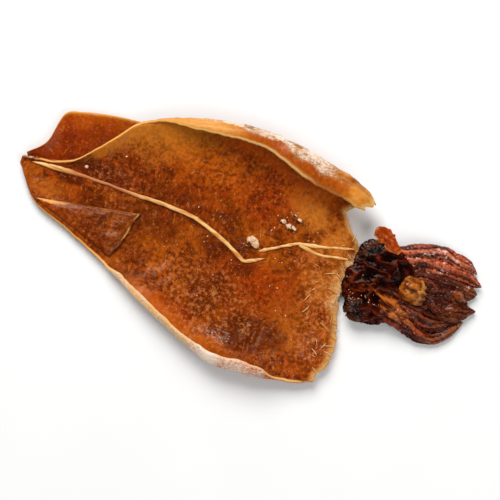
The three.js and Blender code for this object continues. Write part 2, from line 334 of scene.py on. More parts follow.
def steps(tree, value, low, high):
    # S-curve of a node's value, from 0 at low to 1 at high
    sockets = {0: value, 1: low, 2: high}
    return addNode(tree, "ShaderNodeMapRange", sockets, interpolation_type="SMOOTHSTEP").outputs[0]


def patternNoise(tree, place, size, detail=2.0, rough=0.5, stretch=None):
    # noise whose blots are about size millimetres across, stretched along the axes if asked
    if stretch:
        place = addNode(tree, "ShaderNodeMapping", {"Vector": place, "Scale": stretch}).outputs[0]
    sockets = {"Vector": place, "Scale": perMetre / size, "Detail": detail, "Roughness": rough}
    return addNode(tree, "ShaderNodeTexNoise", sockets).outputs[0]


def maskOf(tree, name):
    # a mask of the piece, which reads 0 on a piece that has none of that name
    return addNode(tree, "ShaderNodeAttribute", attribute_name=name).outputs["Fac"]


def glintAndBloomOf(tree, dust, contrast, low, high):
    # bloom and painted glints that break up into grains where they are thin: the mask raised and lowered by the dust,
    # then an S-curve
    cover = mathOf(tree, "MULTIPLY_ADD", mathOf(tree, "SUBTRACT", dust, 0.5), contrast, maskOf(tree, "glintAndBloom"))
    return steps(tree, cover, low, high)


def paint(tree, ground, layers):
    # lays colours over the ground in turn, each by its share, a socket or the name of a mask, times its strength
    colour = srgb(*ground)
    for share, strength, shade in layers:
        if isinstance(share, str):
            share = maskOf(tree, share)
        colour = mixColours(tree, mathOf(tree, "MULTIPLY", share, strength), colour, srgb(*shade))
    return colour


# each finish's refraction, mirror level and tint, coat and coat roughness, and its roughness if that is even
glossSockets = ("IOR", "Specular IOR Level", "Specular Tint", "Coat Weight", "Coat Roughness", "Roughness")
glosses = {
    "driedFlesh": (1.45, 0.2, (1, 0.78, 0.55, 1), 0.05, 0.14),
    "penHorn": (1.5, 0.3, (1, 1, 1, 1), 0.1, 0.2),
    "armSkin": (1.5, 0.12, (1, 0.65, 0.5, 1), 0.26, 0.14),
    "headSkin": (1.5, 0.12, (1, 0.7, 0.55, 1), 0.05, 0.12),
    "suckerRing": (1.5, 0.2, (1, 0.75, 0.6, 1), 0.08, 0.15),
    "mouthFlesh": (1.48, 0.3, (1, 0.8, 0.6, 1), 0.12, 0.1),
    "eyeJelly": (1.5, 0.2, (1, 0.75, 0.6, 1), 0.3, 0.08),
    "saltGrain": (1.5, 0.25, (1, 0.85, 0.7, 1), 0, 0.03, 0.35),
    "paleTable": (1.5, 0.5, (1, 1, 1, 1), 0, 0.03, 0.6),
}


def newFinish(name):
    # a material with its Principled shader, and its gloss set on the shader's own sockets
    material = bpy.data.materials.new(name)
    material.use_nodes = True
    tree = material.node_tree
    shader = tree.nodes["Principled BSDF"]
    for key, value in zip(glossSockets, glosses[name]):
        shader.inputs[key].default_value = value
    place = addNode(tree, "ShaderNodeTexCoord").outputs["Object"]
    return material, tree, shader, place


def surface(tree, shader, colour, rough, height, depth, strength):
    # links a colour, a roughness and a bump to the shader, the bump's depth in millimetres
    bump = addNode(tree, "ShaderNodeBump", {"Height": height, "Distance": depth / perMetre, "Strength": strength})
    for key, socket in (("Base Color", colour), ("Roughness", rough), ("Normal", bump.outputs[0])):
        tree.links.new(socket, shader.inputs[key])


def driedFleshFinish():
    # amber flesh: brown, gold and orange clouds, dark pigment specks, gold where the wall is thin, a painted glow of
    # light through thin flesh and against the roll's shadow, umber pigment with painted shade, a pale cut rim, and
    # white bloom with painted glints on the blisters
    material, tree, shader, place = newFinish("driedFlesh")
    clouds = steps(tree, patternNoise(tree, place, 7, 3, 0.6), 0.36, 0.66)
    broad = steps(tree, patternNoise(tree, place, 26, 2, 0.5), 0.4, 0.62)
    specks = patternNoise(tree, place, 1.4, 3, 0.65)
    grain = patternNoise(tree, place, 1.1, 2, 0.6, stretch=(1.0, 0.6, 1.0))
    flakes = steps(tree, patternNoise(tree, place, 2.2, 4, 0.7, stretch=(0.8, 1.0, 1.0)), 0.58, 0.7)
    dust = patternNoise(tree, place, 0.7, 3, 0.8, stretch=(0.7, 1.0, 1.0))
    inked = mathOf(tree, "SUBTRACT", 1.0, maskOf(tree, "clean"), clamp=True)
    crowd = mathOf(tree, "MULTIPLY_ADD", mathOf(tree, "SUBTRACT", 1.0, clouds), 0.4, 0.45)
    darkSpecks = mathOf(tree, "MULTIPLY", mathOf(tree, "MULTIPLY", steps(tree, specks, 0.6, 0.4), inked), crowd)
    haze = maskOf(tree, "haze")
    glintAndBloom = glintAndBloomOf(tree, dust, 2.2, 0.2, 1.15)
    colour = paint(tree, (134, 52, 3), [
        (clouds, 1, (171, 79, 6)),
        (broad, 0.55, (154, 54, 2)),
        ("clear", 0.9, (206, 116, 34)),
        ("orange", 1, (162, 48, 1)),
        # painted glow: light through thin flesh, and light against the roll's shadow
        ("paintedGlow", 1, (206, 98, 14)),
        ("gold", 1, (210, 126, 30)),
        ("maroon", 1, (86, 18, 3)),
        # umber pigment, and painted shade by the pen, the folded fin's corner, the pits and the blisters' dents
        ("umberAndShade", 1, (84, 22, 1)),
        (darkSpecks, 1, (74, 26, 2)),
        (steps(tree, grain, 0.57, 0.72), 0.45, (202, 116, 36)),
        (mathOf(tree, "MULTIPLY", haze, steps(tree, specks, 0.52, 0.64)), 0.42, (200, 130, 80)),
        (mathOf(tree, "MULTIPLY", haze, flakes), 0.45, (222, 150, 74)),
        ("rim", 1, (240, 182, 98)),
        # white bloom, and painted glints on the blisters
        (glintAndBloom, 0.95, (240, 218, 198)),
    ])
    gloss = mathOf(tree, "MULTIPLY_ADD", specks, 0.2, 0.14)
    rough = mathOf(tree, "MULTIPLY_ADD", glintAndBloom, 0.4, gloss, clamp=True)
    height = mathOf(tree, "MULTIPLY", mathOf(tree, "ADD", specks, glintAndBloom), 0.6)
    surface(tree, shader, colour, rough, height, 0.4, 0.7)
    return material


def penHornFinish():
    # horny pale gold with reddish stretches and fine lengthwise streaks
    material, tree, shader, place = newFinish("penHorn")
    streaks = patternNoise(tree, place, 1.2, 3, 0.6, stretch=(0.15, 1.0, 1.0))
    colour = paint(tree, (206, 130, 58), [
        (steps(tree, streaks, 0.35, 0.65), 1, (246, 198, 124)),
        ("maroon", 1, (178, 92, 48)),
    ])
    surface(tree, shader, colour, mathOf(tree, "MULTIPLY_ADD", streaks, 0.3, 0.2), streaks, 0.12, 0.6)
    return material


def armSkinFinish():
    # maroon skin, with painted shade, nearly black, in its furrows, down its flanks and in the bundle's hollow, a
    # painted highlight of pink to tan along its back, paler on the arms that blush, and painted white glints
    material, tree, shader, place = newFinish("armSkin")
    blots = steps(tree, patternNoise(tree, place, 5, 3, 0.6), 0.38, 0.64)
    specks = patternNoise(tree, place, 1.0, 3, 0.7)
    flecks = patternNoise(tree, place, 0.7, 3, 0.7, stretch=(0.5, 1.0, 1.0))
    colour = paint(tree, (66, 13, 5), [
        (blots, 1, (108, 31, 12)),
        # painted highlight along the backs of the arms
        ("ridge", 1, (170, 72, 30)),
        ("tan", 1, (186, 104, 46)),
        ("blush", 1, (208, 102, 66)),
        # painted shade in the furrows, down the flanks and in the bundle's hollow
        ("darkAndShade", 1, (28, 6, 4)),
        (steps(tree, specks, 0.54, 0.38), 0.7, (48, 12, 8)),
        # painted white glints
        (glintAndBloomOf(tree, flecks, 3.0, 0.35, 0.95), 0.85, (234, 202, 184)),
    ])
    surface(tree, shader, colour, mathOf(tree, "MULTIPLY_ADD", specks, 0.2, 0.14), specks, 0.25, 0.6)
    return material


def headSkinFinish():
    # black-brown to purple skin with small brown patches, a tan streak, orange-brown crests, painted shade in its
    # furrows and white specks that are partly painted glints, glossy in its folds
    material, tree, shader, place = newFinish("headSkin")
    blots = steps(tree, patternNoise(tree, place, 5, 3, 0.6), 0.42, 0.66)
    specks = patternNoise(tree, place, 0.9, 3, 0.65)
    colour = paint(tree, (34, 5, 3), [
        (blots, 1, (62, 13, 5)),
        ("ridge", 1, (128, 50, 18)),
        ("tan", 1, (188, 96, 28)),
        ("darkAndShade", 1, (14, 3, 3)),
        (glintAndBloomOf(tree, specks, 1.6, 0.45, 0.8), 0.8, (216, 184, 160)),
    ])
    surface(tree, shader, colour, mathOf(tree, "MULTIPLY_ADD", specks, 0.2, 0.08), specks, 0.25, 0.6)
    return material


def suckerFinish():
    # tan to pink rings with painted shade in the cup
    material, tree, shader, place = newFinish("suckerRing")
    specks = steps(tree, patternNoise(tree, place, 2.5, 2, 0.6), 0.35, 0.65)
    colour = paint(tree, (78, 24, 13), [(specks, 1, (138, 66, 36)), ("darkAndShade", 1, (34, 9, 6))])
    surface(tree, shader, colour, mathOf(tree, "MULTIPLY_ADD", specks, 0.2, 0.2), specks, 0.1, 0.5)
    return material


def mouthFleshFinish():
    # clear amber muscle with a dark beak, painted shade in its folds and hollows, and a pale skirt
    material, tree, shader, place = newFinish("mouthFlesh")
    blots = steps(tree, patternNoise(tree, place, 3, 3, 0.65), 0.4, 0.62)
    colour = paint(tree, (104, 42, 4), [
        (blots, 1, (172, 92, 12)),
        ("darkAndShade", 1, (40, 13, 5)),
        ("ridge", 0.4, (208, 148, 72)),
    ])
    lumps = patternNoise(tree, place, 1.2, 2, 0.6)
    surface(tree, shader, colour, mathOf(tree, "MULTIPLY_ADD", blots, 0.15, 0.2), lumps, 0.2, 0.5)
    return material


def eyeFinish():
    # shrunken black jelly with a brown rim
    material, tree, shader, place = newFinish("eyeJelly")
    blots = patternNoise(tree, place, 2.2, 3, 0.6)
    colour = paint(tree, (9, 4, 4), [(steps(tree, blots, 0.45, 0.7), 1, (40, 14, 9)), ("ridge", 1, (112, 52, 26))])
    surface(tree, shader, colour, mathOf(tree, "MULTIPLY_ADD", blots, 0.25, 0.12), blots, 0.3, 0.6)
    return material


def saltFinish():
    # off-white grains, some clear and yellow
    material, tree, shader, place = newFinish("saltGrain")
    tint = steps(tree, patternNoise(tree, place, 6, 2, 0.5), 0.35, 0.62)
    colour = paint(tree, (198, 128, 76), [(tint, 1, (238, 208, 174))])
    tree.links.new(colour, shader.inputs["Base Color"])
    return material


def paleTableFinish():
    # white, with a faint wide mottle
    material, tree, shader, place = newFinish("paleTable")
    mottle = patternNoise(tree, place, 40, 2, 0.5)
    colour = paint(tree, (243, 243, 242), [(mottle, 1, (248, 248, 247))])
    tree.links.new(colour, shader.inputs["Base Color"])
    return material


finishes = {
    "flesh": driedFleshFinish(),
    "pen": penHornFinish(),
    "arm": armSkinFinish(),
    "head": headSkinFinish(),
    "sucker": suckerFinish(),
    "mouth": mouthFleshFinish(),
    "eye": eyeFinish(),
    "salt": saltFinish(),
}
print("finishes ready", len(finishes))


# mantle

mantle = {
    "length": 125.0, "keelThick": 2.0, "edgeThick": 1.2, "rows": 250, "cols": 171,
    "liftPower": 2.6, "rollSquash": 0.7, "flatShare": 2 / 3,
    # heights of slow waves, swells, wrinkles, pits and skin folds, and depths of the front's tatters and edge nicks
    "waves": 0.8, "swells": 0.2, "wrinkles": 0.1, "pitDepth": 0.3, "skinFolds": 0.22, "tatters": 1.1, "nicks": 0.35,
    "keelHeight": [(0, 1.4), (20, 0.15), (30, 0), (100, 0), (112, 0.15), (125, 1.2)],
    "frontReach": [
        (-1, -6), (-0.7, -2), (-0.45, 1), (-0.12, -3), (0.2, 0), (0.53, -11), (0.66, -5), (0.8, -2.5), (1, -7)],
    "upper": {
        "edge": [
            (0, 1.5), (16, 5), (26, 14.5), (35, 25.4), (50, 32.3), (66, 36.6), (80, 37.8), (92, 36.4), (107, 33.5),
            (117, 30.6), (125, 25)],
        "lift": [(0, 0.4), (16, 2.4), (35, 4.2), (80, 4.6), (125, 3.6)],
        "rollRadius": [
            (0, 0.9), (35, 1.3), (44, 2.2), (52, 3.2), (64, 4.2), (80, 4.8), (94, 5.9), (110, 5.4), (117, 4.9),
            (125, 2)],
        "rollTurn": [(0, 45), (35, 90), (50, 170), (64, 186), (80, 192), (94, 206), (112, 207), (125, 195)],
    },
    "lower": {
        "edge": [(0, 1.5), (9, 12), (22, 17), (40, 24.4), (58, 32.8), (84, 43), (104, 42.8), (125, 39)],
        "lift": [(0, 0.4), (20, 1.8), (45, 2.6), (85, 4.2), (125, 2.6)],
        "rollRadius": [
            (0, 0.9), (38, 1.3), (48, 2.3), (62, 2.4), (80, 3), (94, 3.6), (104, 3.3), (111, 1.8), (125, 1.2)],
        "rollTurn": [(0, 45), (38, 95), (48, 165), (70, 170), (90, 180), (104, 176), (111, 120), (125, 60)],
    },
    # pits by the blisters, darkened with painted shade: x, y, radius
    "pits": [(83.3, -1.4, 1.5), (84.8, -2.8, 1.2), (95.1, 11.3, 0.9), (97.1, 12.4, 0.9), (98.6, 11, 0.8)],
    # patches of colour: x, y, half-length, half-width, strength
    "patches": {
        "glintAndBloom": [(86, -34.5, 9, 4, 0.3), (104, -36, 8, 4, 0.16), (118, -26, 5, 8, 0.16)],
        "maroon": [
            (29, 5.5, 13, 5.5, 0.8), (40, 8, 12, 7, 0.35), (58, 7, 18, 5, 0.25), (78.4, 1.4, 6, 3, 0.6),
            (75.5, -6.5, 7, 3, 0.5)],
        # umber pigment, with painted shadow in three ovals: below the pen at (73, -5) and (19.5, -0.4), and by the
        # folded fin's corner at (40, -18)
        "umberAndShade": [
            (46, -6, 24, 7, 0.55), (54, 5, 18, 5, 0.3), (80, -22, 16, 9, 0.3), (32, -13, 14, 8, 0.4),
            (94, -29, 15, 8, 0.75), (73, -5, 9, 4, 0.4), (40, -18, 5, 4, 0.5), (19.5, -0.4, 6, 2.0, 0.9),
            (28, -4, 7, 4, 0.4), (74, 4, 8, 4, 0.6), (86.5, -9.5, 6, 3.5, 0.75), (41, -8, 8, 7, 0.35)],
        "clear": [
            (3.5, -4.5, 6.5, 6, 0.15), (12.5, -6.5, 8, 4, 0.35), (111, -22, 13, 15, 0.28), (104, 18, 11, 8, 0.95),
            (44, 20, 16, 9, 0.4), (115, -5, 8, 10, 0.6), (115, 10, 8, 11, 0.9)],
        # painted glow: light against the roll's shadow at (63, 21) and (103, 24), and light through thin flesh at
        # (64, -18)
        "paintedGlow": [(63, 21, 15, 7, 0.42), (64, -18, 8, 8, 0.4), (103, 24, 11, 5, 0.75)],
        "orange": [(97, -12, 16, 8, 0.5), (64, -34, 24, 6, 0.6), (86, 17, 15, 10, 0.42)],
        "haze": [
            (78, -26, 20, 14, 0.9), (90, -37, 10, 5, 0.5), (34, 4, 12, 8, 0.5), (117, -15, 9, 27, 0.9),
            (110, -1, 9, 8, 0.8), (121, -2, 5, 11, 1.6)],
    },
    "patchSeeds": {"glintAndBloom": 75, "maroon": 67, "umberAndShade": 69, "clear": 71, "paintedGlow": 65, "orange": 61, "haze": 73},
    # stretches of the pen and the edges, by distance from the tail: where each rises and where it falls
    "stretches": {
        "goldEdge": ((14, 26), (50, 72)), "cutFade": ((94, 100), (109, 115)), "redBand": ((58, 74), (106, 116)),
        "paintedGlow": ((42, 56), (82, 98)), "penShade": ((34, 50), (86, 90)), "whiteUpper": ((48, 66), (99, 112)),
        "powder": ((56, 74), (100, 112)), "redStrip": ((68, 78), (107, 114)), "whiteLower": ((66, 84), (103, 111)),
        "goldLip": ((34, 44), (74, 86)), "noGold": ((64, 78), (97, 107)), "tipOrange": ((98, 107), (114, 119)),
    },
}


def wallThick(x, reach):
    # thick at the keel, thinner to the tail and to both slit edges
    body = smoothstep(x, 0, 30) * (1 - smoothstep(reach, 0.45, 0.9))
    return between((mantle["edgeThick"], mantle["keelThick"]), body)


def sideForm(side, x):
    # one side's climb, the radius of its roll, the turn where the roll starts, about the flat part's last slope, and
    # the flat part's width, so that the roll's outermost point lies on the outline
    edge, lift, radius = (through(x, side[key]) for key in ("edge", "lift", "rollRadius"))
    startTurn = np.arctan(mantle["liftPower"] * lift / edge)
    return lift, radius, startTurn, edge - radius * (1 - np.sin(startTurn))


def wallSide(side, x, reach):
    # one side's section: a flat part that climbs as a power of the distance out, then a squashed arc; gives the
    # distance out, the height, the normal's two parts and the turn in degrees
    power, squash, flatShare = mantle["liftPower"], mantle["rollSquash"], mantle["flatShare"]
    lift, radius, startTurn, flatWidth = sideForm(side, x)
    endTurn = np.maximum(np.radians(through(x, side["rollTurn"])), startTurn)
    part = np.clip(reach / flatShare, 0, 1)
    climb = power * lift * part ** (power - 1)
    turn = between((startTurn, endTurn), np.clip((reach - flatShare) / (1 - flatShare), 0, 1))
    rolled = reach > flatShare
    out = np.where(rolled, flatWidth + radius * (np.sin(turn) - np.sin(startTurn)), flatWidth * part)
    up = np.where(rolled, lift + squash * radius * (np.cos(startTurn) - np.cos(turn)), lift * part**power)
    normalOut = np.where(rolled, -squash * np.sin(turn), -climb)
    normalUp = np.where(rolled, np.cos(turn), flatWidth)
    size = np.hypot(normalOut, normalUp)
    degrees = np.degrees(np.where(rolled, turn, np.arctan2(climb, flatWidth)))
    return out, up, normalOut / size, normalUp / size, degrees


def dryWarp(x, y):
    # slow waves that lift and drop the wall away from the keel, as it dries
    return mantle["waves"] * planNoise(x, y, 24, 2, 3) * smoothstep(np.abs(y), 9, 24)


def pitMask(x, y):
    # round spots that fade with the square of the way out
    spots = [np.exp(-(((x - px) ** 2 + (y - py) ** 2) / radius**2)) for px, py, radius in mantle["pits"]]
    return np.maximum.reduce(spots)


def insideRelief(x, y):
    # swells and wrinkles of the inner face, less its pits
    swells, wrinkles = planNoise(x, y, 8, 3, 11), planNoise(x * 2.2, y * 0.8, 3, 2, 17)
    return mantle["swells"] * swells + mantle["wrinkles"] * wrinkles - mantle["pitDepth"] * pitMask(x, y)


def insideHeight(x, y):
    # height of the inner face over its flat part, by the section's formula
    height = np.zeros_like(x)
    for side, here in (("upper", y >= 0), ("lower", y < 0)):
        lift, _, _, flatWidth = sideForm(mantle[side], x)
        part = np.abs(y) / flatWidth
        wall = (mantle["keelThick"] + wallThick(x, part * mantle["flatShare"])) / 2
        height = np.where(here, lift * part ** mantle["liftPower"] + wall, height)
    return height + through(x, mantle["keelHeight"]) + dryWarp(x, y)


def patchMask(x, y, colour):
    # soft ovals of one colour with a frayed outline
    total = np.zeros_like(x)
    fray = 0.35 * planNoise(x, y, 7, 3, mantle["patchSeeds"][colour])
    for px, py, halfLength, halfWidth, strength in mantle["patches"][colour]:
        away = np.hypot((x - px) / halfLength, (y - py) / halfWidth) + fray
        total = np.maximum(total, strength * (1 - smoothstep(away, 0.45, 1.1)))
    return total


def stretchMask(x, name):
    # 1 along one of the mantle's stretches, 0 before and after it
    return window(x, *mantle["stretches"][name])


def mantleFront(across, share):
    # how far each line along the body reaches: the torn front edge, with fine tatters at its very end
    tatters = mantle["tatters"] * layeredNoise(np.stack([across * 40, share * 0, share * 0], -1), 2.5, 3, 31)
    return mantle["length"] + through(across, mantle["frontReach"]) + tatters * smoothstep(share, 0.9, 1)


def insideMasks(x, y, share, reach, isUpper, cutEdge, frontEdge):
    # the inner face's patches, with a gold slit edge by the tail, a red band in the upper roll's shadow lightened by
    # the painted glow, a painted glow of light through the thin flesh beside the lower roll, painted shade beside the
    # pen and in the pits, umber pigment and painted shadows by the pen and the folded fin, and pale cut and torn
    # edges
    goldEdge = isUpper * stretchMask(x, "goldEdge") * smoothstep(reach, 0.36, 0.68)
    torn = smoothstep(share + 0.02 * planNoise(x, y, 2.2, 3, 64), 0.95, 0.985)
    paleFront = torn * window(y, (-18, -8), (6, 10))
    clear = patchMask(x, y, "clear")
    rollTurn = np.radians(through(x, mantle["upper"]["rollTurn"]))
    overhang = through(x, mantle["upper"]["rollRadius"]) * (1 - np.sin(rollTurn))
    fromFree = through(x, mantle["upper"]["edge"]) - overhang - y  # distance in from the roll's free edge
    # a red band in the shadow of the upper roll, lightened by the painted glow
    redBand = isUpper * window(fromFree, (-4, 0), (2, 5)) * stretchMask(x, "redBand")
    # painted glow of light through the thin flesh beside the lower roll
    paintedGlow = ~isUpper * stretchMask(x, "paintedGlow") * window(reach, (0.54, 0.67), (0.74, 0.9))
    penY = straightThrough(x, pen["lines"][0][:pen["unbroken"]])
    # painted shade on both sides of the pen
    fromPen = (y - penY) / (2.1 + 0.9 * planNoise(x, y, 5, 2, 63))
    penShade = np.exp(-(fromPen**2)) * stretchMask(x, "penShade")
    return {
        "paintedGlow": strongest(0.7 * paintedGlow, 0.4 * redBand, patchMask(x, y, "paintedGlow")),
        "gold": strongest(0.65 * goldEdge, 0.5 * frontEdge),
        "rim": strongest(0.8 * cutEdge, 0.55 * frontEdge, 0.65 * paleFront),
        "orange": strongest(patchMask(x, y, "orange"), 0.9 * redBand),
        "maroon": patchMask(x, y, "maroon"),
        # umber pigment, with painted shade in the pits and on both sides of the pen
        "umberAndShade": strongest(patchMask(x, y, "umberAndShade"), 0.9 * pitMask(x, y), 0.85 * penShade),
        "clear": clear,
        "haze": patchMask(x, y, "haze"),
        "clean": strongest(0.8 * goldEdge, cutEdge, 0.6 * clear, 0.8 * paintedGlow, 0.6 * redBand),
        "glintAndBloom": strongest(
            0.5 * cutEdge * smoothstep(x, 40, 60), 0.3 * frontEdge, 0.5 * paleFront, patchMask(x, y, "glintAndBloom")),
    }


def outsideMasks(x, y, turn, isUpper, cutEdge, frontEdge):
    # the outer face, which shows on both rolls: a painted glow of light through the rolled flesh, powder with bare
    # flecks, a red strip, gold and an orange tip on the upper one, bloom and a gold lip on the lower one, pale free
    # edges painted light where they face down into shade, and patches of bloom and maroon underneath
    onRoll = smoothstep(turn, 62, 90)
    endTurn = np.where(isUpper, through(x, mantle["upper"]["rollTurn"]), through(x, mantle["lower"]["rollTurn"]))
    inward = np.clip((turn - 80) / np.maximum(endTurn - 80, 1), 0, 1)  # from the outline in to the free edge
    thickness = 0.22 * planNoise(x, 3 * inward, 6, 2, 77)
    frayed = inward + 0.5 * thickness
    powdered = 0.34 + 0.19 * smoothstep(x, 58, 80)  # how far in the powder lies on the upper roll
    band = onRoll * (1 - smoothstep(frayed, powdered, powdered + 0.16))
    flecks = smoothstep(planNoise(0.5 * x, 11 * inward, 1.8, 2, 86), 0.15, 0.6)  # bare stretches in the powder
    whiteUpper = band * (0.86 + 1.2 * thickness - 0.35 * flecks) * stretchMask(x, "whiteUpper")
    powder = band * isUpper * stretchMask(x, "powder")
    redStrip = isUpper * window(frayed, (0.5, 0.66), (1.2, 1.3)) * stretchMask(x, "redStrip")
    density = 1.02 - 0.15 * smoothstep(inward, 0.6, 1) - 0.2 * smoothstep(x, 88, 96) + thickness - 0.05 * flecks
    whiteLower = onRoll * stretchMask(x, "whiteLower") * density
    goldLip = ~isUpper * onRoll * stretchMask(x, "goldLip")
    rollGold = isUpper * onRoll * (1 - stretchMask(x, "noGold")) * (1 - 0.8 * redStrip)
    paleFibres = smoothstep(x, 98, 106) * smoothstep(planNoise(0.25 * x, 9 * inward, 1.6, 2, 81), 0.0, 0.5)
    darkFibres = smoothstep(x, 96, 104) * smoothstep(planNoise(0.25 * x, 9 * inward, 2.2, 2, 85), -0.1, 0.5)
    paleGold = rollGold * (1 - smoothstep(x, 58, 78) + 0.6 * paleFibres)
    tipOrange = rollGold * stretchMask(x, "tipOrange") * window(inward + thickness, (0.25, 0.45), (0.65, 0.85))
    # the pale free edge, painted light where it faces down into shade
    freeLine = smoothstep(inward, 0.87, 0.95) * onRoll * (1 - 0.8 * smoothstep(x, 94, 102))
    patchy = smoothstep(planNoise(0.7 * x, y, 12, 4, 79), -0.25, 0.75) * (1 - smoothstep(turn, 40, 70))
    darkSkin = smoothstep(planNoise(x, y, 18, 3, 83), 0.05, 0.5) * (1 - onRoll)
    return {
        # painted glow of light through the thin rolled flesh
        "paintedGlow": np.where(isUpper, 0.6, 0.8) * onRoll,
        "gold": strongest(0.8 * rollGold * (1 - 0.65 * tipOrange), 0.35 * powder),
        "rim": strongest(
            0.85 * cutEdge, np.where(isUpper, 0.85, 0.5) * frontEdge, freeLine, 0.85 * goldLip, 0.4 * paleGold,
            0.25 * powder),
        "orange": strongest(0.75 * redStrip, 0.7 * tipOrange),
        "maroon": strongest(0.25 * redStrip, 0.3 * darkSkin),
        "umberAndShade": strongest((0.4 + 0.5 * flecks) * powder, 0.6 * rollGold * darkFibres),
        "haze": 0.6 * smoothstep(turn, 5, 30) * (1 - onRoll),
        "clean": 0.6 * onRoll,
        "glintAndBloom": strongest(
            np.where(isUpper, whiteUpper, whiteLower), 0.6 * patchy, 0.35 * freeLine * smoothstep(x, 50, 70),
            (0.6 - 0.25 * flecks) * goldLip),
    }


def makeMantle():
    # the two sides' sections carried along the body, then half the wall's thickness and some relief added along the
    # normal for the inner face and taken away for the outer one
    rows, cols = mantle["rows"], mantle["cols"]
    share, across = gridOf(np.linspace(0, 1, rows), np.linspace(-1, 1, cols))
    x, reach = share * mantleFront(across, share), np.abs(across)
    upper, lower = wallSide(mantle["upper"], x, reach), wallSide(mantle["lower"], x, reach)
    out, up, normalOut, normalUp, turn = (np.where(across < 0, b, a) for a, b in zip(upper, lower))
    sign = np.where(across < 0, -1.0, 1.0)
    y = sign * (out + mantle["nicks"] * planNoise(x, sign * 50, 5, 3, 41) * smoothstep(reach, 0.5, 1))
    z = up + mantle["keelThick"] / 2 + through(x, mantle["keelHeight"]) + dryWarp(x, y)
    middle = np.stack([x, y, z], -1)
    normal = np.stack([np.zeros_like(x), sign * normalOut, normalUp], -1)
    rimThin = (1 - 0.7 * smoothstep(reach, 0.97, 1)) * (1 - 0.6 * smoothstep(share, 0.985, 1))
    half = (wallThick(x, reach) * rimThin / 2)[..., None]
    fade = (1 - smoothstep(reach, 0.9, 1)) * (1 - smoothstep(share, 0.97, 1))
    inner = middle + normal * (half + (insideRelief(x, y) * fade)[..., None])
    wrinkles = layeredNoise(np.stack([x * 0.22, across * 55, 0 * x], -1), 2.4, 2, 55)  # lengthwise
    folds = layeredNoise(middle * [0.5, 1.2, 1], 6, 3, 53)
    skinRelief = mantle["skinFolds"] * (folds + wrinkles) * fade * smoothstep(turn, 8, 40)
    outer = middle - normal * (half + skinRelief[..., None])
    outer[..., 2] = np.maximum(outer[..., 2], 0)

    isUpper = across > 0
    cutEdge = smoothstep(reach, 0.972, 0.995) * smoothstep(x, 3, 8)
    cutEdge = cutEdge * (1 - 0.75 * isUpper * stretchMask(x, "cutFade"))
    frontEdge = smoothstep(share, 0.975, 0.998)
    inside = insideMasks(x, y, share, reach, isUpper, cutEdge, frontEdge)
    outside = outsideMasks(x, y, turn, isUpper, cutEdge, frontEdge)
    makeSheet("squidMantle", (inner, outer), (inside, outside))


# blisters

blisters = {
    # x, y, radius, height and how much of the top is left without the painted glint
    "domes": [
        (86.3, 0.6, 2.7, 1.0, 0.05), (83.7, -2.6, 1.9, 0.4, 1.5), (93.9, 10.6, 1.2, 0.5, 0.3),
        (96.3, 9.6, 1.4, 0.6, 0.3), (98.2, 9.4, 1.2, 0.5, 0.35), (99.2, 12.9, 1.1, 0.4, 0.5),
        (97.4, 14.1, 0.8, 0.3, 0.55)],
    "rings": 20, "cols": 52, "sink": 0.5, "glintWay": 65.0,
    "dentBack": 0.55, "dentSize": (0.4, 0.7), "dentDepth": 0.7,
}


def makeBlisters():
    # bubbles that burst and dried: one minus the square of the share of an uneven radius, creased, with a dent in
    # the side away from the painted glint, darkened with painted shadow
    parts = []
    out, turn = gridOf(np.linspace(1, 0, blisters["rings"], endpoint=False), fullTurn(blisters["cols"]))
    way = math.radians(blisters["glintWay"])
    ahead, aside = out * np.cos(turn - way), out * np.sin(turn - way)
    dentLength, dentWidth = blisters["dentSize"]
    dent = np.exp(-(((ahead + blisters["dentBack"]) / dentLength) ** 2) - (aside / dentWidth) ** 2)
    for domeX, domeY, radius, height, bare in blisters["domes"]:
        outline = 1 + 0.3 * planNoise(domeX + 1.2 * np.cos(turn), domeY + 1.2 * np.sin(turn), 1.1, 2, 25)
        reach = radius * outline * out
        x, y = domeX + reach * np.cos(turn), domeY + reach * np.sin(turn)
        creases = 1 + 0.35 * planNoise(x, y, 0.9, 2, 27)
        rise = (1 - out**2) ** 0.7 * (1 - blisters["dentDepth"] * dent) * creases
        seat = insideHeight(x, y) + insideRelief(x, y)
        top = np.stack([x, y, seat + height * rise], -1)
        bottom = np.stack([x[0], y[0], seat[0] - blisters["sink"]], -1)[None]
        middles = np.stack([bottom[0].mean(0), top[-1].mean(0)])
        # a painted glint: pale on the side that faces the glint's bearing
        pale = smoothstep(ahead + 0.4 * planNoise(x, y, 1.1, 3, 29), bare - 0.6, bare - 0.2)
        pale = pale * (1 - smoothstep(out, 0.72, 0.98))
        # bloom, rim and clean make the painted glint, umber is painted shadow in the dent, and maroon darkens the
        # rest
        masks = {
            "glintAndBloom": (1 - 0.11 * radius) * pale, "rim": 0.7 * pale, "umberAndShade": (1 - pale) * smoothstep(dent, 0.1, 0.6),
            "maroon": 0.5 * (1 - pale), "clean": 0.8 * pale, "haze": np.full(x.shape, 0.3),
        }
        masks = {key: np.concatenate([v[:1], v]) for key, v in masks.items()}
        parts.append(closedTube(np.concatenate([bottom, top]), middles, masks))
    makeJoined("squidBlisters", parts, finishes["flesh"])


# fins

fin = {
    "thick": 1.1, "lift": 2.4, "thinning": 0.4, "wave": 0.5, "relief": 0.1, "rows": 110, "cols": 70,
    "root": [(2, 0), (38, 3)],
    "rim": [(1, 3), (6.5, 9), (9, 20), (15, 23), (26, 25.5), (38, 27)],
}


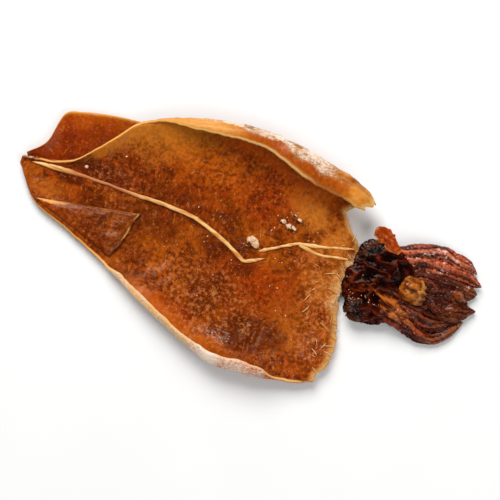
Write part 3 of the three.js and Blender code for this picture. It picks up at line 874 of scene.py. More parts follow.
def makeUpperFin():
    # straight lines from the root to the rim, lifting with the square of the way out
    share, out = gridOf(np.linspace(0, 1, fin["rows"]), np.linspace(0, 1, fin["cols"]))
    plan = between((curvePoints(fin["root"], share), curvePoints(fin["rim"], share)), out[..., None])
    x, y = plan[..., 0], plan[..., 1]
    wave = fin["wave"] * planNoise(x, y, 9, 2, 91) * out
    z = fin["thick"] / 2 + fin["lift"] * out**2 + np.maximum(wave, -0.3)
    rimThin = (1 - 0.7 * smoothstep(out, 0.95, 1)) * (1 - 0.7 * (1 - smoothstep(share, 0, 0.03)))
    half = fin["thick"] * (1 - fin["thinning"] * out) * rimThin / 2
    relief = fin["relief"] * planNoise(x * 1.6, y * 0.7, 4, 3, 93)
    upper = np.stack([x, y, z + half + relief * rimThin], -1)
    lower = np.stack([x, y, np.maximum(z - half, 0.02)], -1)
    edge = strongest(smoothstep(out, 0.93, 0.985), 1 - smoothstep(share, 0.01, 0.05))
    masks = {
        "gold": 0.5 * edge,
        "rim": 0.5 * smoothstep(out, 0.965, 0.99),
        "orange": 0.85 * (1 - edge) * (0.75 + 0.25 * planNoise(x, y, 8, 2, 95)),
        "maroon": (0.24 + 0.26 * smoothstep(planNoise(x, y, 7, 3, 97), 0.1, 0.5)) * (1 - smoothstep(out, 0.6, 0.9)),
        "haze": 0.15,
        "clean": 0.65,
        # painted glow of light through the thin outer fin
        "paintedGlow": 0.45 * smoothstep(out + 0.2 * planNoise(x, y, 6, 2, 99), 0.66, 0.95) * smoothstep(share, 0.2, 0.6),
    }
    makeSheet("squidUpperFin", (upper, lower), (masks, masks))


fold = {
    "tail": (9, -11), "inner": (45.5, -4), "outer": (41, -21.5), "blunt": 0.03, "bow": 0.4, "ragged": 0.008,
    "thick": 1.5, "swell": 0.6, "freeLift": 0.8, "rows": 100, "cols": 60,
}


def makeFoldedFin():
    # a triangle: straight lines from the tail corner to the far edge, laid on the mantle and a little swollen
    share, across = gridOf(np.linspace(0, 1, fold["rows"]), np.linspace(-1, 1, fold["cols"]))
    tail, inner, outer = (np.array(fold[key], float) for key in ("tail", "inner", "outer"))
    far = between((outer, inner), ((across + 1) / 2)[..., None])
    ragged = fold["ragged"] * planNoise(8 * across, 0 * across, 3, 3, 110) * smoothstep(share, 0.7, 1)
    plan = between((tail, far), (between((fold["blunt"], 1), share) + ragged)[..., None])
    bow = fold["bow"] * (1 - across**2) * smoothstep(share, 0.3, 1)  # the far edge bows outwards
    x, y = plan[..., 0] + bow, plan[..., 1]
    base = insideHeight(x, y)
    swell = fold["swell"] * (1 - across**2) * np.sin(np.pi * share)
    edge = strongest(smoothstep(share, 0.94, 1), smoothstep(across, 0.9, 1), 0.6 * smoothstep(-across, 0.9, 1))
    relief = 0.14 * planNoise(x, y, 5, 3, 101) + 0.08 * planNoise(x * 0.6, y * 2, 2.5, 2, 103)
    freeLift = fold["freeLift"] * smoothstep(share, 0.75, 1) * (1 + 0.4 * planNoise(x, y, 4, 2, 105))
    top = base + (fold["thick"] / 2) * (1 - 0.5 * edge) + swell + relief * (1 - edge) + freeLift
    faces = [np.stack([x, y, z], -1) for z in (top, base - fold["thick"] / 2)]
    tailEnd = 1 - smoothstep(share, 0.1, 0.4)
    frayed = across + 0.3 * planNoise(x, y, 2, 2, 108) * tailEnd
    crease = smoothstep(frayed, 0.93 - 1.2 * tailEnd, 0.98 - 0.6 * tailEnd)
    freeEdge = smoothstep(share, 0.978, 0.992)
    paleEdge = freeEdge * smoothstep(across + 1.2 * planNoise(x, y, 4, 2, 109), -0.4, 0.8)
    masks = {
        "gold": crease * (0.2 + 0.6 * tailEnd),
        "rim": strongest(0.5 * crease * (0.2 + 0.8 * tailEnd), 0.55 * paleEdge),
        "orange": strongest(0.35 * tailEnd, 0.2 * freeEdge),
        "maroon": 0.25 * smoothstep(planNoise(x, y, 7, 3, 107), 0, 0.5) * (1 - freeEdge),
        "umberAndShade": 0.4 * (1 - tailEnd) + 0.4 * freeEdge,
        "haze": 0.2,
        "clean": strongest(crease, freeEdge),
    }
    makeSheet("squidFoldedFin", faces, (masks, masks))


# pen

pen = {
    "rows": 200, "cols": 16, "heightShare": 0.75, "seat": 0.12, "wander": 0.12,
    "wobble": (0.12, 0.26, 0.26),  # the broken front lines are less even than the main one
    "red": ((14, 22), (36, 46)),  # where the main line turns red, and where it ends
    # width by distance from the tail
    "width": [
        (3, 1.0), (9, 1.8), (15, 2.2), (22, 1.2), (40, 1.2), (56, 1.45), (72, 1.45), (84, 1.35), (92, 1.0),
        (104, 1.2), (122, 0.8)],
    "unbroken": 6,  # points of the main line before its broken end
    "lines": [
        [(4, 0.6), (20, 1.8), (40, 2), (62, 1.7), (75, -2), (84.2, -6.4), (85.6, -6.9), (87.2, -6.4), (92.4, -3.6)],
        [(89.6, -1.8), (95, 1.4), (101, 5), (104, 5.8), (112, 7.6), (121, 10.2)],
        [(102, 5), (110, 4.2), (120, 6)],
    ],
}


def makePenLines():
    # each line is a flattened tube that lies on the inner face, rounded at its ends by the root of the distance from
    # them
    share = np.linspace(0, 1, pen["rows"])
    tip = np.sqrt(np.clip(np.minimum(share, 1 - share) / 0.05, 0.06, 1))
    parts = []
    for n, line in enumerate(pen["lines"]):
        plan = curvePoints(line, share)
        x = plan[:, 0]
        y = plan[:, 1] + pen["wander"] * planNoise(x, 0 * x + n, 4, 2, 113)
        path = np.stack([x, y, insideHeight(x, y) + pen["seat"]], -1)
        sideways, upward = pathFrame(path)
        wobble = 1 + pen["wobble"][n] * planNoise(x, 0 * x + 9 * n, 2.2, 3, 127)
        half = (through(x, pen["width"]) / 2 * tip * wobble)[:, None]
        ring = sweep(path, sideways * half, upward * half * pen["heightShare"], pen["cols"])
        red = 0.85 * window(x, *pen["red"])
        parts.append(closedTube(ring, path, {"maroon": np.repeat(red[:, None], pen["cols"], 1)}))
    makeJoined("squidPenLines", parts, finishes["pen"])


# head, eyes and mouth

head = {
    "centre": (133.5, 2, 3.7), "size": (25, 30, 7.4), "rows": 120, "cols": 200,
    # seed, depth and crowding along each axis of the skin's folds
    "folds": (131, 0.18, (2.2, 5.0, 2.4)), "webFolds": (139, 0.16, (2, 8, 3)),
    "webOffset": (15, 1.5, -1.9), "webSize": (32, 27, 3.6), "webRows": 60, "webCols": 160,
    "neckPath": [(-20, 2, -2.4), (-10, 1, -1.8), (0, 0, 0)], "neckWidths": (12, 22), "neckFlatness": 0.17,
    "neckRows": 60, "neckCols": 60, "neckCreases": 0.25, "neckSink": 0.9,
    "streakMiddle": (141.5, -4.8), "streakHeading": -21.0, "streakSize": (16.0, 5.0),
}


def foldedSkin(seed, depth, stretch):
    # swelling of shrivelled skin: crests and furrows stretched along the body
    def swelling(way):
        crest = ridgedNoise(way * stretch, 1, 3, seed) - 0.7
        broad = layeredNoise(way * 2.2, 1, 2, seed + 7)
        push = depth * (0.8 * crest + 0.5 * broad)
        top = smoothstep(way[..., 2], -0.2, 0.5)
        # paler crests on the upper side, painted shade in the furrows, and white specks on top that are partly
        # painted glints
        masks = {
            "ridge": 0.5 * smoothstep(crest, 0.12, 0.28) * top,
            "darkAndShade": smoothstep(-crest, 0.0, 0.35),
            "glintAndBloom": 0.35 * smoothstep(layeredNoise(way * 3, 1, 3, seed + 13), 0.35, 0.7) * top,
        }
        return push, masks
    return swelling


def tanStreak(points):
    # a frayed, fibrous oval of bare flesh beside the mouth, on upper faces only
    x, y, z = points.T
    (middleX, middleY), heading = head["streakMiddle"], math.radians(head["streakHeading"])
    along = (x - middleX) * math.cos(heading) + (y - middleY) * math.sin(heading)
    aside = (y - middleY) * math.cos(heading) - (x - middleX) * math.sin(heading)
    fibres = planNoise(0.22 * along, aside, 0.8, 3, 157)
    away = np.hypot(along / head["streakSize"][0], aside / head["streakSize"][1]) * 2
    away = away + 0.4 * planNoise(x, y, 2.4, 3, 155) + 0.9 * fibres
    return (1 - smoothstep(away, 0.3, 1.15)) * smoothstep(z, 2.5, 4) * np.clip(0.75 - 0.8 * fibres, 0, 1)


def makeHead():
    # two balls of folded skin, the head and the web round the arms' roots, and a flat tube of neck that runs back
    # over the mantle
    centre, share = np.array(head["centre"]), np.linspace(0, 1, head["neckRows"])
    strap = centre + curvePoints(head["neckPath"], share)
    sideways, upward = pathFrame(strap)
    half = between(head["neckWidths"], share)[:, None] / 2
    rounded = np.sqrt(np.clip(share / 0.3, 0.01, 1))[:, None]
    neck = sweep(strap, sideways * half * rounded, upward * half * head["neckFlatness"], head["neckCols"])
    crease = layeredNoise(neck * [0.4, 1.5, 1], 3, 3, 157)
    neck[..., 2] += head["neckCreases"] * crease - head["neckSink"] * (1 - smoothstep(share, 0.2, 0.6))[:, None]
    # painted shade in the neck's creases
    neckMasks = {
        "ridge": 0.6 * smoothstep(crease, 0, 0.5), "darkAndShade": smoothstep(-crease, 0.1, 0.6), "glintAndBloom": 0 * crease}
    webCentre, webSkin = centre + head["webOffset"], foldedSkin(*head["webFolds"])
    points, faces, masks = joinParts([
        ballPart(centre, head["size"], head["rows"], head["cols"], foldedSkin(*head["folds"])),
        ballPart(webCentre, head["webSize"], head["webRows"], head["webCols"], webSkin),
        closedTube(neck, strap, neckMasks),
    ])
    points[:, 2] = np.maximum(points[:, 2], 0.02)
    masks["tan"] = tanStreak(points)
    makePiece("squidHead", points, faces, finishes["head"], masks)


eyes = {"offsets": [(-6, 9.3, 0.9), (-4.5, -10.8, 0.7)], "size": (10, 9, 5), "rows": 50, "cols": 80}


def makeEyes():
    # each eye is a flat ball whose top has sunk in, with a lopsided, puckered rim round the hollow
    def sunken(way):
        lopsided = layeredNoise(way * 1.5, 1, 2, 173)
        outwards = np.hypot(way[..., 0], way[..., 1]) * (1 + 0.5 * lopsided)
        top = smoothstep(way[..., 2], 0, 0.25)
        rim = np.exp(-(((outwards - 0.72) / 0.2) ** 2)) * top
        hollow = (1 - smoothstep(outwards, 0.15, 0.75)) * top
        pucker = ridgedNoise(way * [3, 3, 2], 1, 3, 149) - 0.7
        push = 0.1 * rim - 0.3 * hollow + 0.34 * pucker
        return push, {"ridge": np.clip(rim * (0.4 + 0.8 * pucker), 0, 1)}
    centres = np.array(head["centre"]) + eyes["offsets"]
    parts = [ballPart(centre, eyes["size"], eyes["rows"], eyes["cols"], sunken) for centre in centres]
    makeJoined("squidEyes", parts, finishes["eye"])


mouth = {"offset": (11, 1.5, 1), "size": (11.5, 9.6, 7.7), "rows": 60, "cols": 90, "folds": 9}


def makeMouth():
    # a ball of muscle that narrows towards the arms, with folds that run to the beak in its end
    def muscle(way):
        forwards = way[..., 0]
        folds = np.cos(mouth["folds"] * np.arctan2(way[..., 2], way[..., 1])) * smoothstep(forwards, 0.2, 0.8)
        lumps = layeredNoise(way * 2.4, 1, 3, 151)
        push = 0.14 * lumps + 0.07 * folds - 0.12 * smoothstep(forwards, 0.75, 1)
        beak = smoothstep(forwards, 0.82, 0.97)
        skirt = window(forwards + 0.25 * lumps, (0.3, 0.5), (0.55, 0.75)) * smoothstep(way[..., 2], -0.3, 0.3)
        # the dark beak, and painted shade in the folds and the sunken lumps
        dark = strongest(beak, 0.7 * smoothstep(-folds, 0.4, 1), 0.85 * smoothstep(-lumps, 0.1, 0.6))
        return push, {"darkAndShade": dark, "ridge": skirt}
    centre = np.array(head["centre"]) + mouth["offset"]
    part = ballPart(centre, mouth["size"], mouth["rows"], mouth["cols"], muscle)
    makeJoined("squidMouth", [part], finishes["mouth"])


# arms, tentacles and suckers

arms = {
    "count": 8, "thick": 6.8, "tipThick": 3.6, "flatness": 0.8, "rootShare": 0.55, "endShare": 0.4, "pathSteps": 12,
    # innermost and outermost arms: reach of root and tip past the head's middle, and their heights
    "rootReach": (8.5, 2), "tipReach": (33.5, 31.5), "rootHeight": (2.7, 3.8), "tipHeight": (2, 1.6),
    # middle and half-width of the fan of roots and tips
    "rootSpread": (2, 10.5), "tipSpread": (4, 11.5),
    "bow": 2, "curl": -3.5, "hookBow": -2, "hookCurl": 5, "curlShares": (0.7, 1.15),
    "unevenReach": 2.2, "unevenAcross": 1, "unevenBow": 0.6, "unevenSway": 0.9, "unevenCurl": 1.2,
    "rows": 170, "cols": 48, "foldLength": 36, "ridges": 5, "ridgeDepth": 0.1, "wanderDepth": 0.18,
    "wrinkleDepth": 0.08, "suckerTurn": -55, "hollowShade": 0.85, "seed": 200,
}


def armPath(root, tip, bow, sway, curl):
    # a straight line from root to tip that bows to its left, sways from side to side and curls at its tip, by
    # the given millimetres, while it sinks from the root's height to the tip's
    share = np.linspace(0, 1, arms["pathSteps"] + 1)
    left = np.array([root[1] - tip[1], tip[0] - root[0]]) / math.hypot(root[1] - tip[1], tip[0] - root[0])
    aside = bow * np.sin(np.pi * share) + sway * np.sin(2 * np.pi * share)
    aside = aside + curl * smoothstep(share, *arms["curlShares"])
    plan = np.array(root[:2]) + share[:, None] * (np.array(tip[:2]) - root[:2]) + aside[:, None] * left
    return np.column_stack([plan, between((root[2], tip[2]), smoothstep(share, 0.1, 0.8))])


def armPaths():
    # arms side by side from the upper side of the mouth round to the lower one, which hooks back, each a little
    # different, with the way its suckers face, how much painted shade it takes in the bundle's hollow and how pink it
    # is
    centreX, centreY, _ = head["centre"]
    lies = []
    for n in range(arms["count"]):
        spread = 1 - 2 * n / (arms["count"] - 1)
        outward = abs(spread)
        hooked = n == arms["count"] - 1
        root = (
            centreX + between(arms["rootReach"], outward),
            centreY + arms["rootSpread"][0] + arms["rootSpread"][1] * spread,
            between(arms["rootHeight"], outward),
        )
        tip = (
            centreX + between(arms["tipReach"], outward) + arms["unevenReach"] * uneven(n + 1),
            centreY + arms["tipSpread"][0] + arms["tipSpread"][1] * spread + arms["unevenAcross"] * uneven(n + 5),
            between(arms["tipHeight"], outward),
        )
        bow = arms["bow"] * spread + arms["unevenBow"] * uneven(n + 9) + arms["hookBow"] * hooked
        curl = arms["curl"] * spread + arms["unevenCurl"] * uneven(n + 17) + arms["hookCurl"] * hooked
        lies.append({
            "path": armPath(root, tip, bow, arms["unevenSway"] * uneven(n + 13), curl),
            "facing": arms["suckerTurn"] * spread,
            "hollowShade": arms["hollowShade"] * (1 - smoothstep(outward, 0.3, 0.8)),
            "blush": smoothstep(spread, 0.2, 0.9),
        })
    return lies


def shrivelledLimb(points, thick, form, seed, blush=0.0, hollowShade=0.0):
    # a tapering tube whose wall has lengthwise folds that wander and twist, and small cross wrinkles; a painted
    # highlight along its back, painted shade down its flanks, in its folds and in the bundle's hollow, painted white
    # glints on its back, tan towards its tip; gives the tube, and its path with two directions across it and its
    # girth
    share, angle = np.linspace(0, 1, form["rows"]), fullTurn(form["cols"])
    path = curvePoints(points, share)
    length = share * arms["foldLength"]
    line = np.stack([length, 0 * share, 0 * share], -1)
    free = smoothstep(share, 0.1, 0.3)
    path[:, 1] += 0.8 * noise(line, 7, seed + 6) * free
    path[:, 2] += np.maximum(0.9 * noise(line, 9, seed + 7), -0.4) * free
    girth = thick(share) * (1 + 0.16 * layeredNoise(line, 6, 2, seed + 8) * free)
    sideways, upward = pathFrame(path)
    turn = angle + 0.7 * uneven(seed) * share[:, None]
    along = np.broadcast_to(length[:, None] / 9, turn.shape)
    around = np.stack([np.cos(turn) * 1.6, np.sin(turn) * 1.6, along], -1)
    wander = layeredNoise(around, 1, 2, seed)
    folds = np.cos(arms["ridges"] * turn + 2.4 * wander)
    wrinkles = layeredNoise(around * [1.5, 1.5, 7], 1, 2, seed + 3)
    patches = layeredNoise(around * [1, 1, 1.5], 1, 3, seed + 5)
    relief = arms["ridgeDepth"] * folds + arms["wanderDepth"] * wander + arms["wrinkleDepth"] * wrinkles
    rounded = np.maximum(np.sqrt(np.clip((1 - share) / 0.04, 0, 1)), 0.05)
    half = (girth / 2 * rounded)[:, None] * (1 + relief)
    ring = sweep(0 * path, sideways, upward * arms["flatness"], form["cols"]) * half[..., None] + path[:, None]
    ring[..., 2] = np.maximum(ring[..., 2], 0.03)
    # back is the upper side, which takes the painted highlight, and flank the lower sides, which take painted shade
    back = np.broadcast_to(smoothstep(np.sin(angle), 0.1, 0.95), turn.shape)
    flank = np.broadcast_to(1 - smoothstep(np.sin(angle), -0.2, 0.7), turn.shape)
    toTip = np.broadcast_to(smoothstep(share, 0.45, 1)[:, None], turn.shape)
    masks = {
        "ridge": 0.85 * back * smoothstep(folds, -0.5, 0.8) * (0.35 + 0.65 * smoothstep(patches, -0.35, 0.35)),
        "darkAndShade": strongest(0.85 * flank, 0.9 * smoothstep(-folds, 0.4, 1), hollowShade * (1 - 0.4 * toTip)),
        # painted white glints on the back, stronger on the arms that blush
        "glintAndBloom": (0.2 + 0.4 * blush) * smoothstep(patches, 0.3 - 0.5 * blush, 0.6) * back,
        "blush": blush * (0.5 + 0.5 * smoothstep(folds + 0.6 * patches, -0.5, 0.6)) * (1 - 0.4 * toTip),
        "tan": 0.6 * toTip * back * smoothstep(wander, -0.4, 0.3),
    }
    return closedTube(ring, path, masks), (path, sideways, upward, girth)


def makeArms():
    # shrivelled limbs that thicken from their roots, then thin evenly to their tips; gives each one's spine and the
    # way its suckers face
    def thick(share):
        root = between((arms["rootShare"], 1), smoothstep(share, 0, 0.2))
        end = between((1, arms["endShare"]), smoothstep(share, 0.85, 1))
        return between((arms["thick"], arms["tipThick"]), share) * root * end
    lies = armPaths()
    made = [
        shrivelledLimb(lie["path"], thick, arms, arms["seed"] + 11 * n, lie["blush"], lie["hollowShade"])
        for n, lie in enumerate(lies)
    ]
    points, faces, masks = joinParts([part for part, _ in made])
    streak = tanStreak(points)
    masks["tan"], masks["darkAndShade"] = np.maximum(masks["tan"], streak), masks["darkAndShade"] * (1 - 0.8 * streak)
    makePiece("squidArms", points, faces, finishes["arm"], masks)
    return [(*spine, lie["facing"]) for (_, spine), lie in zip(made, lies)]


tentacles = {
    "root": (7.5, 2.5, 4.9), "tip": (30.5, 4), "tipMiddle": 3, "bow": 1.2, "sway": 1.5, "curl": -3, "thick": 2.8,
    "clubSwell": 0.9, "clubPlace": 0.86, "clubLength": 0.08, "hollowShade": 0.5, "rows": 150, "cols": 28, "seed": 400,
}


def tentaclePaths():
    # one on each side of the mouth, a mirror image of the other, down to where its club lies on the table
    centreX, centreY, _ = head["centre"]
    clubHeight = tentacles["thick"] * (1 + tentacles["clubSwell"]) * arms["flatness"] / 2
    paths = []
    for side in (1, -1):
        root = (centreX + tentacles["root"][0], centreY + side * tentacles["root"][1], tentacles["root"][2])
        tipY = centreY + tentacles["tipMiddle"] + side * tentacles["tip"][1]
        tip = (centreX + tentacles["tip"][0], tipY, clubHeight)
        paths.append(armPath(root, tip, *(side * tentacles[key] for key in ("bow", "sway", "curl"))))
    return paths


def makeTentacles():
    # shrivelled limbs of even thickness that swell to a club near the end
    def thick(share):
        fromClub = (share - tentacles["clubPlace"]) / tentacles["clubLength"]
        club = 1 + tentacles["clubSwell"] * np.exp(-(fromClub**2))
        return tentacles["thick"] * club * (1 - 0.6 * smoothstep(share, 0.9, 1))
    parts = [
        shrivelledLimb(path, thick, tentacles, tentacles["seed"] + 11 * n, hollowShade=tentacles["hollowShade"])[0]
        for n, path in enumerate(tentaclePaths())
    ]
    makeJoined("squidTentacles", parts, finishes["arm"])


suckers = {
    "pairs": 16, "first": 0.16, "last": 0.94, "size": 0.17, "cols": 9,
    "stagger": 0.012, "rowTilt": 26, "unevenTilt": 9, "unevenSize": 0.35,
    # the cup's section from its foot over its rim into its hollow: distance out, height and painted shade
    "section": [
        (0.9, -0.5, 0.4), (1.1, 0.1, 0.0), (0.98, 0.5, 0.0), (0.7, 0.55, 0.1), (0.45, 0.2, 0.9), (0.05, 0.05, 1.0)],
}


def makeSuckers(spines):
    # cups in two rows along the inner face of each arm: a small section turned about the face's own direction
    out, up, dark = np.array(suckers["section"]).T
    turn = fullTurn(suckers["cols"])[:, None]
    share = np.linspace(suckers["first"], suckers["last"], suckers["pairs"])
    rings, middles = [], []
    for n, (path, sideways, upward, girth, faceTilt) in enumerate(spines):
        for row in (1, -1):
            jitter = suckers["stagger"] * np.sin(np.arange(len(share)) * 2.3 + n + row)
            at = ((share + row * suckers["stagger"] + jitter) * (len(path) - 1)).astype(int)
            at = np.clip(at, 0, len(path) - 1)
            tilt = faceTilt + row * suckers["rowTilt"] + suckers["unevenTilt"] * np.sin(at * 0.9 + n)
            cosine, sine = np.cos(np.radians(tilt))[:, None], np.sin(np.radians(tilt))[:, None]
            facing = upward[at] * cosine + sideways[at] * sine
            across = sideways[at] * cosine - upward[at] * sine
            along = np.cross(facing, across)
            half = girth[at][:, None] / 2
            radius = suckers["size"] * half * (1 + suckers["unevenSize"] * np.sin(at * 1.7 + n))[:, None]
            seat = path[at] + (sideways[at] * sine + upward[at] * cosine * arms["flatness"]) * half
            flat = np.cos(turn) * across[:, None] + np.sin(turn) * along[:, None]
            cup = out[:, None, None] * flat[:, None] + up[:, None, None] * facing[:, None, None]
            rings.append(seat[:, None, None] + radius[:, None, None] * cup)
            middles.append(seat[:, None] + radius[:, None] * up[[0, -1], None] * facing[:, None])
    points, faces = manyTubes(np.concatenate(rings), np.concatenate(middles))
    mask = np.concatenate([np.repeat(dark, suckers["cols"]), dark[[0, -1]]])
    makePiece("squidSuckers", points, faces, finishes["sucker"], {"darkAndShade": np.tile(mask, len(points) // len(mask))})


# loose skin, fibres and salt grains

skinTab = {
    "middle": (130.8, 17.2), "length": 12.0, "width": 7.2, "heading": 150.0, "height": 5.8, "thick": 0.7,
    "curl": 0.8, "slope": 0.6, "wrinkles": 0.5, "rows": 48, "cols": 34,
}


def makeSkinTab():
    # a drop-shaped sheet, narrow where it leaves the arm's root, wrinkled lengthwise, its sides curled up
    share, across = gridOf(np.linspace(-1, 1, skinTab["rows"]), np.linspace(-1, 1, skinTab["cols"]))
    heading = math.radians(skinTab["heading"])
    along = share * skinTab["length"] / 2
    drop = np.sin(np.pi * np.clip(0.04 + 0.94 * ((share + 1) / 2) ** 1.5, 0, 1)) ** 0.75
    out = across * skinTab["width"] / 2 * drop * (1 + 0.3 * planNoise(along, 2 * np.sign(across), 2.6, 3, 163))
    x = skinTab["middle"][0] + along * math.cos(heading) - out * math.sin(heading)
    y = skinTab["middle"][1] + along * math.sin(heading) + out * math.cos(heading)
    wrinkle = skinTab["wrinkles"] * planNoise(along * 0.5, out * 1.6, 2.2, 3, 167)
    z = skinTab["height"] + skinTab["curl"] * across**2 * drop + wrinkle * drop - skinTab["slope"] * share
    edge = smoothstep(np.maximum(np.abs(share), np.abs(across)), 0.8, 1)
    half = skinTab["thick"] / 2 * (1 - 0.6 * edge)
    # a faint painted glow of light through the thin skin
    masks = {
        "gold": 0.3 * edge, "rim": 0.15 * edge, "orange": 1 - 0.5 * edge,
        "maroon": 0.15 + 0.4 * smoothstep(-wrinkle, 0, 0.3), "haze": 0.3, "clean": 0.5, "paintedGlow": 0.15,
    }
    makeSheet("squidSkinTab", [np.stack([x, y, z + side * half], -1) for side in (1, -1)], (masks, masks))


fibres = {
    "count": 40, "length": (1.6, 5.5), "width": (0.22, 0.46), "redness": (0, 0.3), "seed": 7, "rows": 9, "cols": 5,
    "across": (-0.6, 0.36), "inland": 4.5, "headingSpread": 55, "bendSpread": 35, "overhang": 0.8, "seat": 0.18,
    "arch": 0.25,
}


def makeEdgeFibres():
    # short strands that lie across the torn front edge, each a thin tapering tube with a gentle bend
    draw = np.random.default_rng(fibres["seed"])
    share = np.linspace(0, 1, fibres["rows"])
    taper = 0.35 + 0.65 * np.sin(np.pi * (0.1 + 0.85 * share))
    parts = []
    for _ in range(fibres["count"]):
        across = draw.uniform(*fibres["across"])
        front = float(mantleFront(np.array([across]), np.array([1.0]))[0])
        side = mantle["upper"] if across > 0 else mantle["lower"]
        out = wallSide(side, np.array([front]), np.array([abs(across)]))[0][0]
        startX, startY = front - draw.exponential(fibres["inland"]) - 0.6, math.copysign(out, across)
        heading, bend = (math.radians(draw.normal(0, fibres[key])) for key in ("headingSpread", "bendSpread"))
        step = draw.uniform(*fibres["length"]) / len(share)
        angle = heading + bend * share
        x = np.minimum(startX + np.cumsum(np.cos(angle)) * step, front + fibres["overhang"])
        y = startY + np.cumsum(np.sin(angle)) * step
        z = insideHeight(x, y) + fibres["seat"] + fibres["arch"] * np.sin(np.pi * share)
        path = np.stack([x + 0.001 * share, y, z], -1)  # never two points alike
        sideways, upward = pathFrame(path)
        half = (draw.uniform(*fibres["width"]) / 2 * taper)[:, None]
        ring = sweep(path, sideways * half, upward * half, fibres["cols"])
        parts.append(closedTube(ring, path, {"maroon": np.full(ring.shape[:2], draw.uniform(*fibres["redness"]))}))
    makeJoined("squidEdgeFibres", parts, finishes["pen"])


saltGrains = {
    "scattered": 150, "byBlisters": 26, "onHead": 40, "size": (0.1, 0.28), "flatness": 0.6, "seed": 19,
    "rows": 3, "cols": 6,
    # the scattered grains: ends along the body, middle and spread across it, and the two lines that bound them
    "along": (22, 119), "across": (-8, 16),
    "upperLine": [(20, 8), (50, 24), (120, 20)], "lowerLine": [(20, -6), (50, -20), (80, -34), (120, -34)],
    "blisterSpread": 1.7, "headMiddle": (128.5, -6.5), "headSpread": 2.6,
    "large": (22.4, 5.3, 0.6),  # the single large grain near the tail: x, y, size
}


def makeSaltGrains():
    # low lumps, each a small ball turned and stretched at random, sunk a little in the inner face or the head
    draw = np.random.default_rng(saltGrains["seed"])
    count, spread = saltGrains["scattered"], saltGrains["blisterSpread"]
    x, y = draw.uniform(*saltGrains["along"], count), draw.normal(*saltGrains["across"], count)
    keep = (y < straightThrough(x, saltGrains["upperLine"])) & (y > straightThrough(x, saltGrains["lowerLine"]))
    keep &= draw.uniform(0, 1, count) < 0.35 + 0.65 * smoothstep(x, 60, 110)  # fewer towards the tail
    domes = np.array(blisters["domes"])
    near = domes[draw.integers(0, len(domes), saltGrains["byBlisters"])]
    largeX, largeY, largeSize = saltGrains["large"]
    x = np.concatenate([x[keep], near[:, 0] + draw.normal(0, spread, len(near)), [largeX]])
    y = np.concatenate([y[keep], near[:, 1] + draw.normal(0, spread, len(near)), [largeY]])
    large = len(x) - 1
    seatZ = insideHeight(x, y) + insideRelief(x, y)
    headSpread, onHead = saltGrains["headSpread"], saltGrains["onHead"]
    headX, headY = (draw.normal(middle, headSpread, onHead) for middle in saltGrains["headMiddle"])
    (middleX, middleY, middleZ), (lengthX, widthY, heightZ) = head["centre"], head["size"]
    level = 1 - ((headX - middleX) / lengthX * 2) ** 2 - ((headY - middleY) / widthY * 2) ** 2
    x, y = np.concatenate([x, headX]), np.concatenate([y, headY])
    seatZ = np.concatenate([seatZ, middleZ + heightZ / 2 * np.sqrt(np.clip(level, 0, 1)) - 0.1])
    count = len(x)
    size = draw.uniform(*saltGrains["size"], count) * draw.uniform(0.6, 1.3, count)
    size[large] = largeSize
    stretch = draw.uniform(0.6, 1.4, (count, 3)) * size[:, None]
    stretch[:, 2] *= saltGrains["flatness"]
    turn = draw.uniform(0, 2 * np.pi, count)[:, None, None]
    way = ballGrid(saltGrains["rows"], saltGrains["cols"])
    base = way * stretch[:, None, None] * draw.uniform(0.75, 1.2, (count, *way.shape[:2]))[..., None]
    turned = np.stack([
        base[..., 0] * np.cos(turn) - base[..., 1] * np.sin(turn),
        base[..., 0] * np.sin(turn) + base[..., 1] * np.cos(turn), base[..., 2]], -1)
    rings = turned + np.stack([x, y, seatZ + 0.2 * stretch[:, 2]], -1)[:, None, None]
    poles = np.stack([rings[:, 0].mean(1), rings[:, -1].mean(1)], 1)
    makePiece("squidSaltGrains", *manyTubes(rings, poles), finishes["salt"])


makeMantle()
makeBlisters()
makeUpperFin()
makeFoldedFin()
makePenLines()
makeHead()
makeEyes()
makeMouth()
armSpines = makeArms()
makeTentacles()
makeSuckers(armSpines)
makeSkinTab()
makeEdgeFibres()
makeSaltGrains()


# table, light and camera

stageSet = {
    "floorSize": 3.0, "frameWidth": 0.177, "lens": 85.0, "sensor": 36.0, "roll": 20.0, "sky": 0.32,
    "middle": (0.0804, -0.032),  # from the tail tip to the picture's middle, across the picture and up it
    # place, size and power of each softbox
    "softboxes": {
        "keySoftbox": ((-0.45, 0.72, 0.84), 0.7, 14.6),
        "fillSoftbox": ((0.75, -0.35, 0.8), 0.8, 4.0),
    },
}


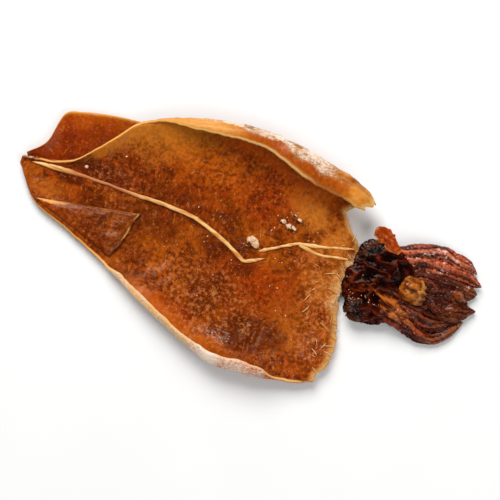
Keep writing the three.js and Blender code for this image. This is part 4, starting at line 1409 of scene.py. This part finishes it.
def makeFloor():
    # a wide flat square, white with a faint mottle
    half = stageSet["floorSize"] / 2
    mesh = bpy.data.meshes.new("table")
    mesh.from_pydata([(-half, -half, 0), (half, -half, 0), (half, half, 0), (-half, half, 0)], [], [(0, 1, 2, 3)])
    mesh.materials.append(paleTableFinish())
    floor = bpy.data.objects.new("table", mesh)
    bpy.context.scene.collection.objects.link(floor)


def makeLight(name, position, size, power):
    # a square light that looks at the origin: tilted by its angle from straight above, then turned to its bearing
    light = bpy.data.lights.new(name, "AREA")
    light.size = size
    light.energy = power
    lamp = bpy.data.objects.new(name, light)
    lamp.location = position
    x, y, z = position
    lamp.rotation_euler = (math.atan2(math.hypot(x, y), z), 0, math.atan2(y, x) + math.pi / 2)
    bpy.context.scene.collection.objects.link(lamp)


def makeSky():
    # even white light from all round
    world = bpy.data.worlds.new("studio")
    bpy.context.scene.world = world
    world.use_nodes = True
    background = world.node_tree.nodes["Background"]
    background.inputs["Color"].default_value = (1, 1, 1, 1)
    background.inputs["Strength"].default_value = stageSet["sky"]
    world.cycles_visibility.glossy = False  # only the softboxes show in the gloss


def makeCamera():
    # straight down, turned so that the body runs down to the right
    roll = math.radians(stageSet["roll"])
    right, up = np.array([math.cos(roll), math.sin(roll)]), np.array([-math.sin(roll), math.cos(roll)])
    tail = np.array([bodyFrame["tailX"], bodyFrame["keelY"]]) / perMetre
    middle = tail + stageSet["middle"][0] * right + stageSet["middle"][1] * up
    camera = bpy.data.cameras.new("camera")
    camera.lens = stageSet["lens"]
    camera.sensor_width = stageSet["sensor"]
    viewer = bpy.data.objects.new("camera", camera)
    viewer.location = (*middle, stageSet["frameWidth"] * camera.lens / camera.sensor_width)
    viewer.rotation_euler = (0, 0, roll)
    bpy.context.scene.collection.objects.link(viewer)
    bpy.context.scene.camera = viewer


makeFloor()
for name, (position, size, power) in stageSet["softboxes"].items():
    makeLight(name, position, size, power)
makeSky()
makeCamera()
bpy.context.scene.view_settings.view_transform = "Standard"
print("stage ready")
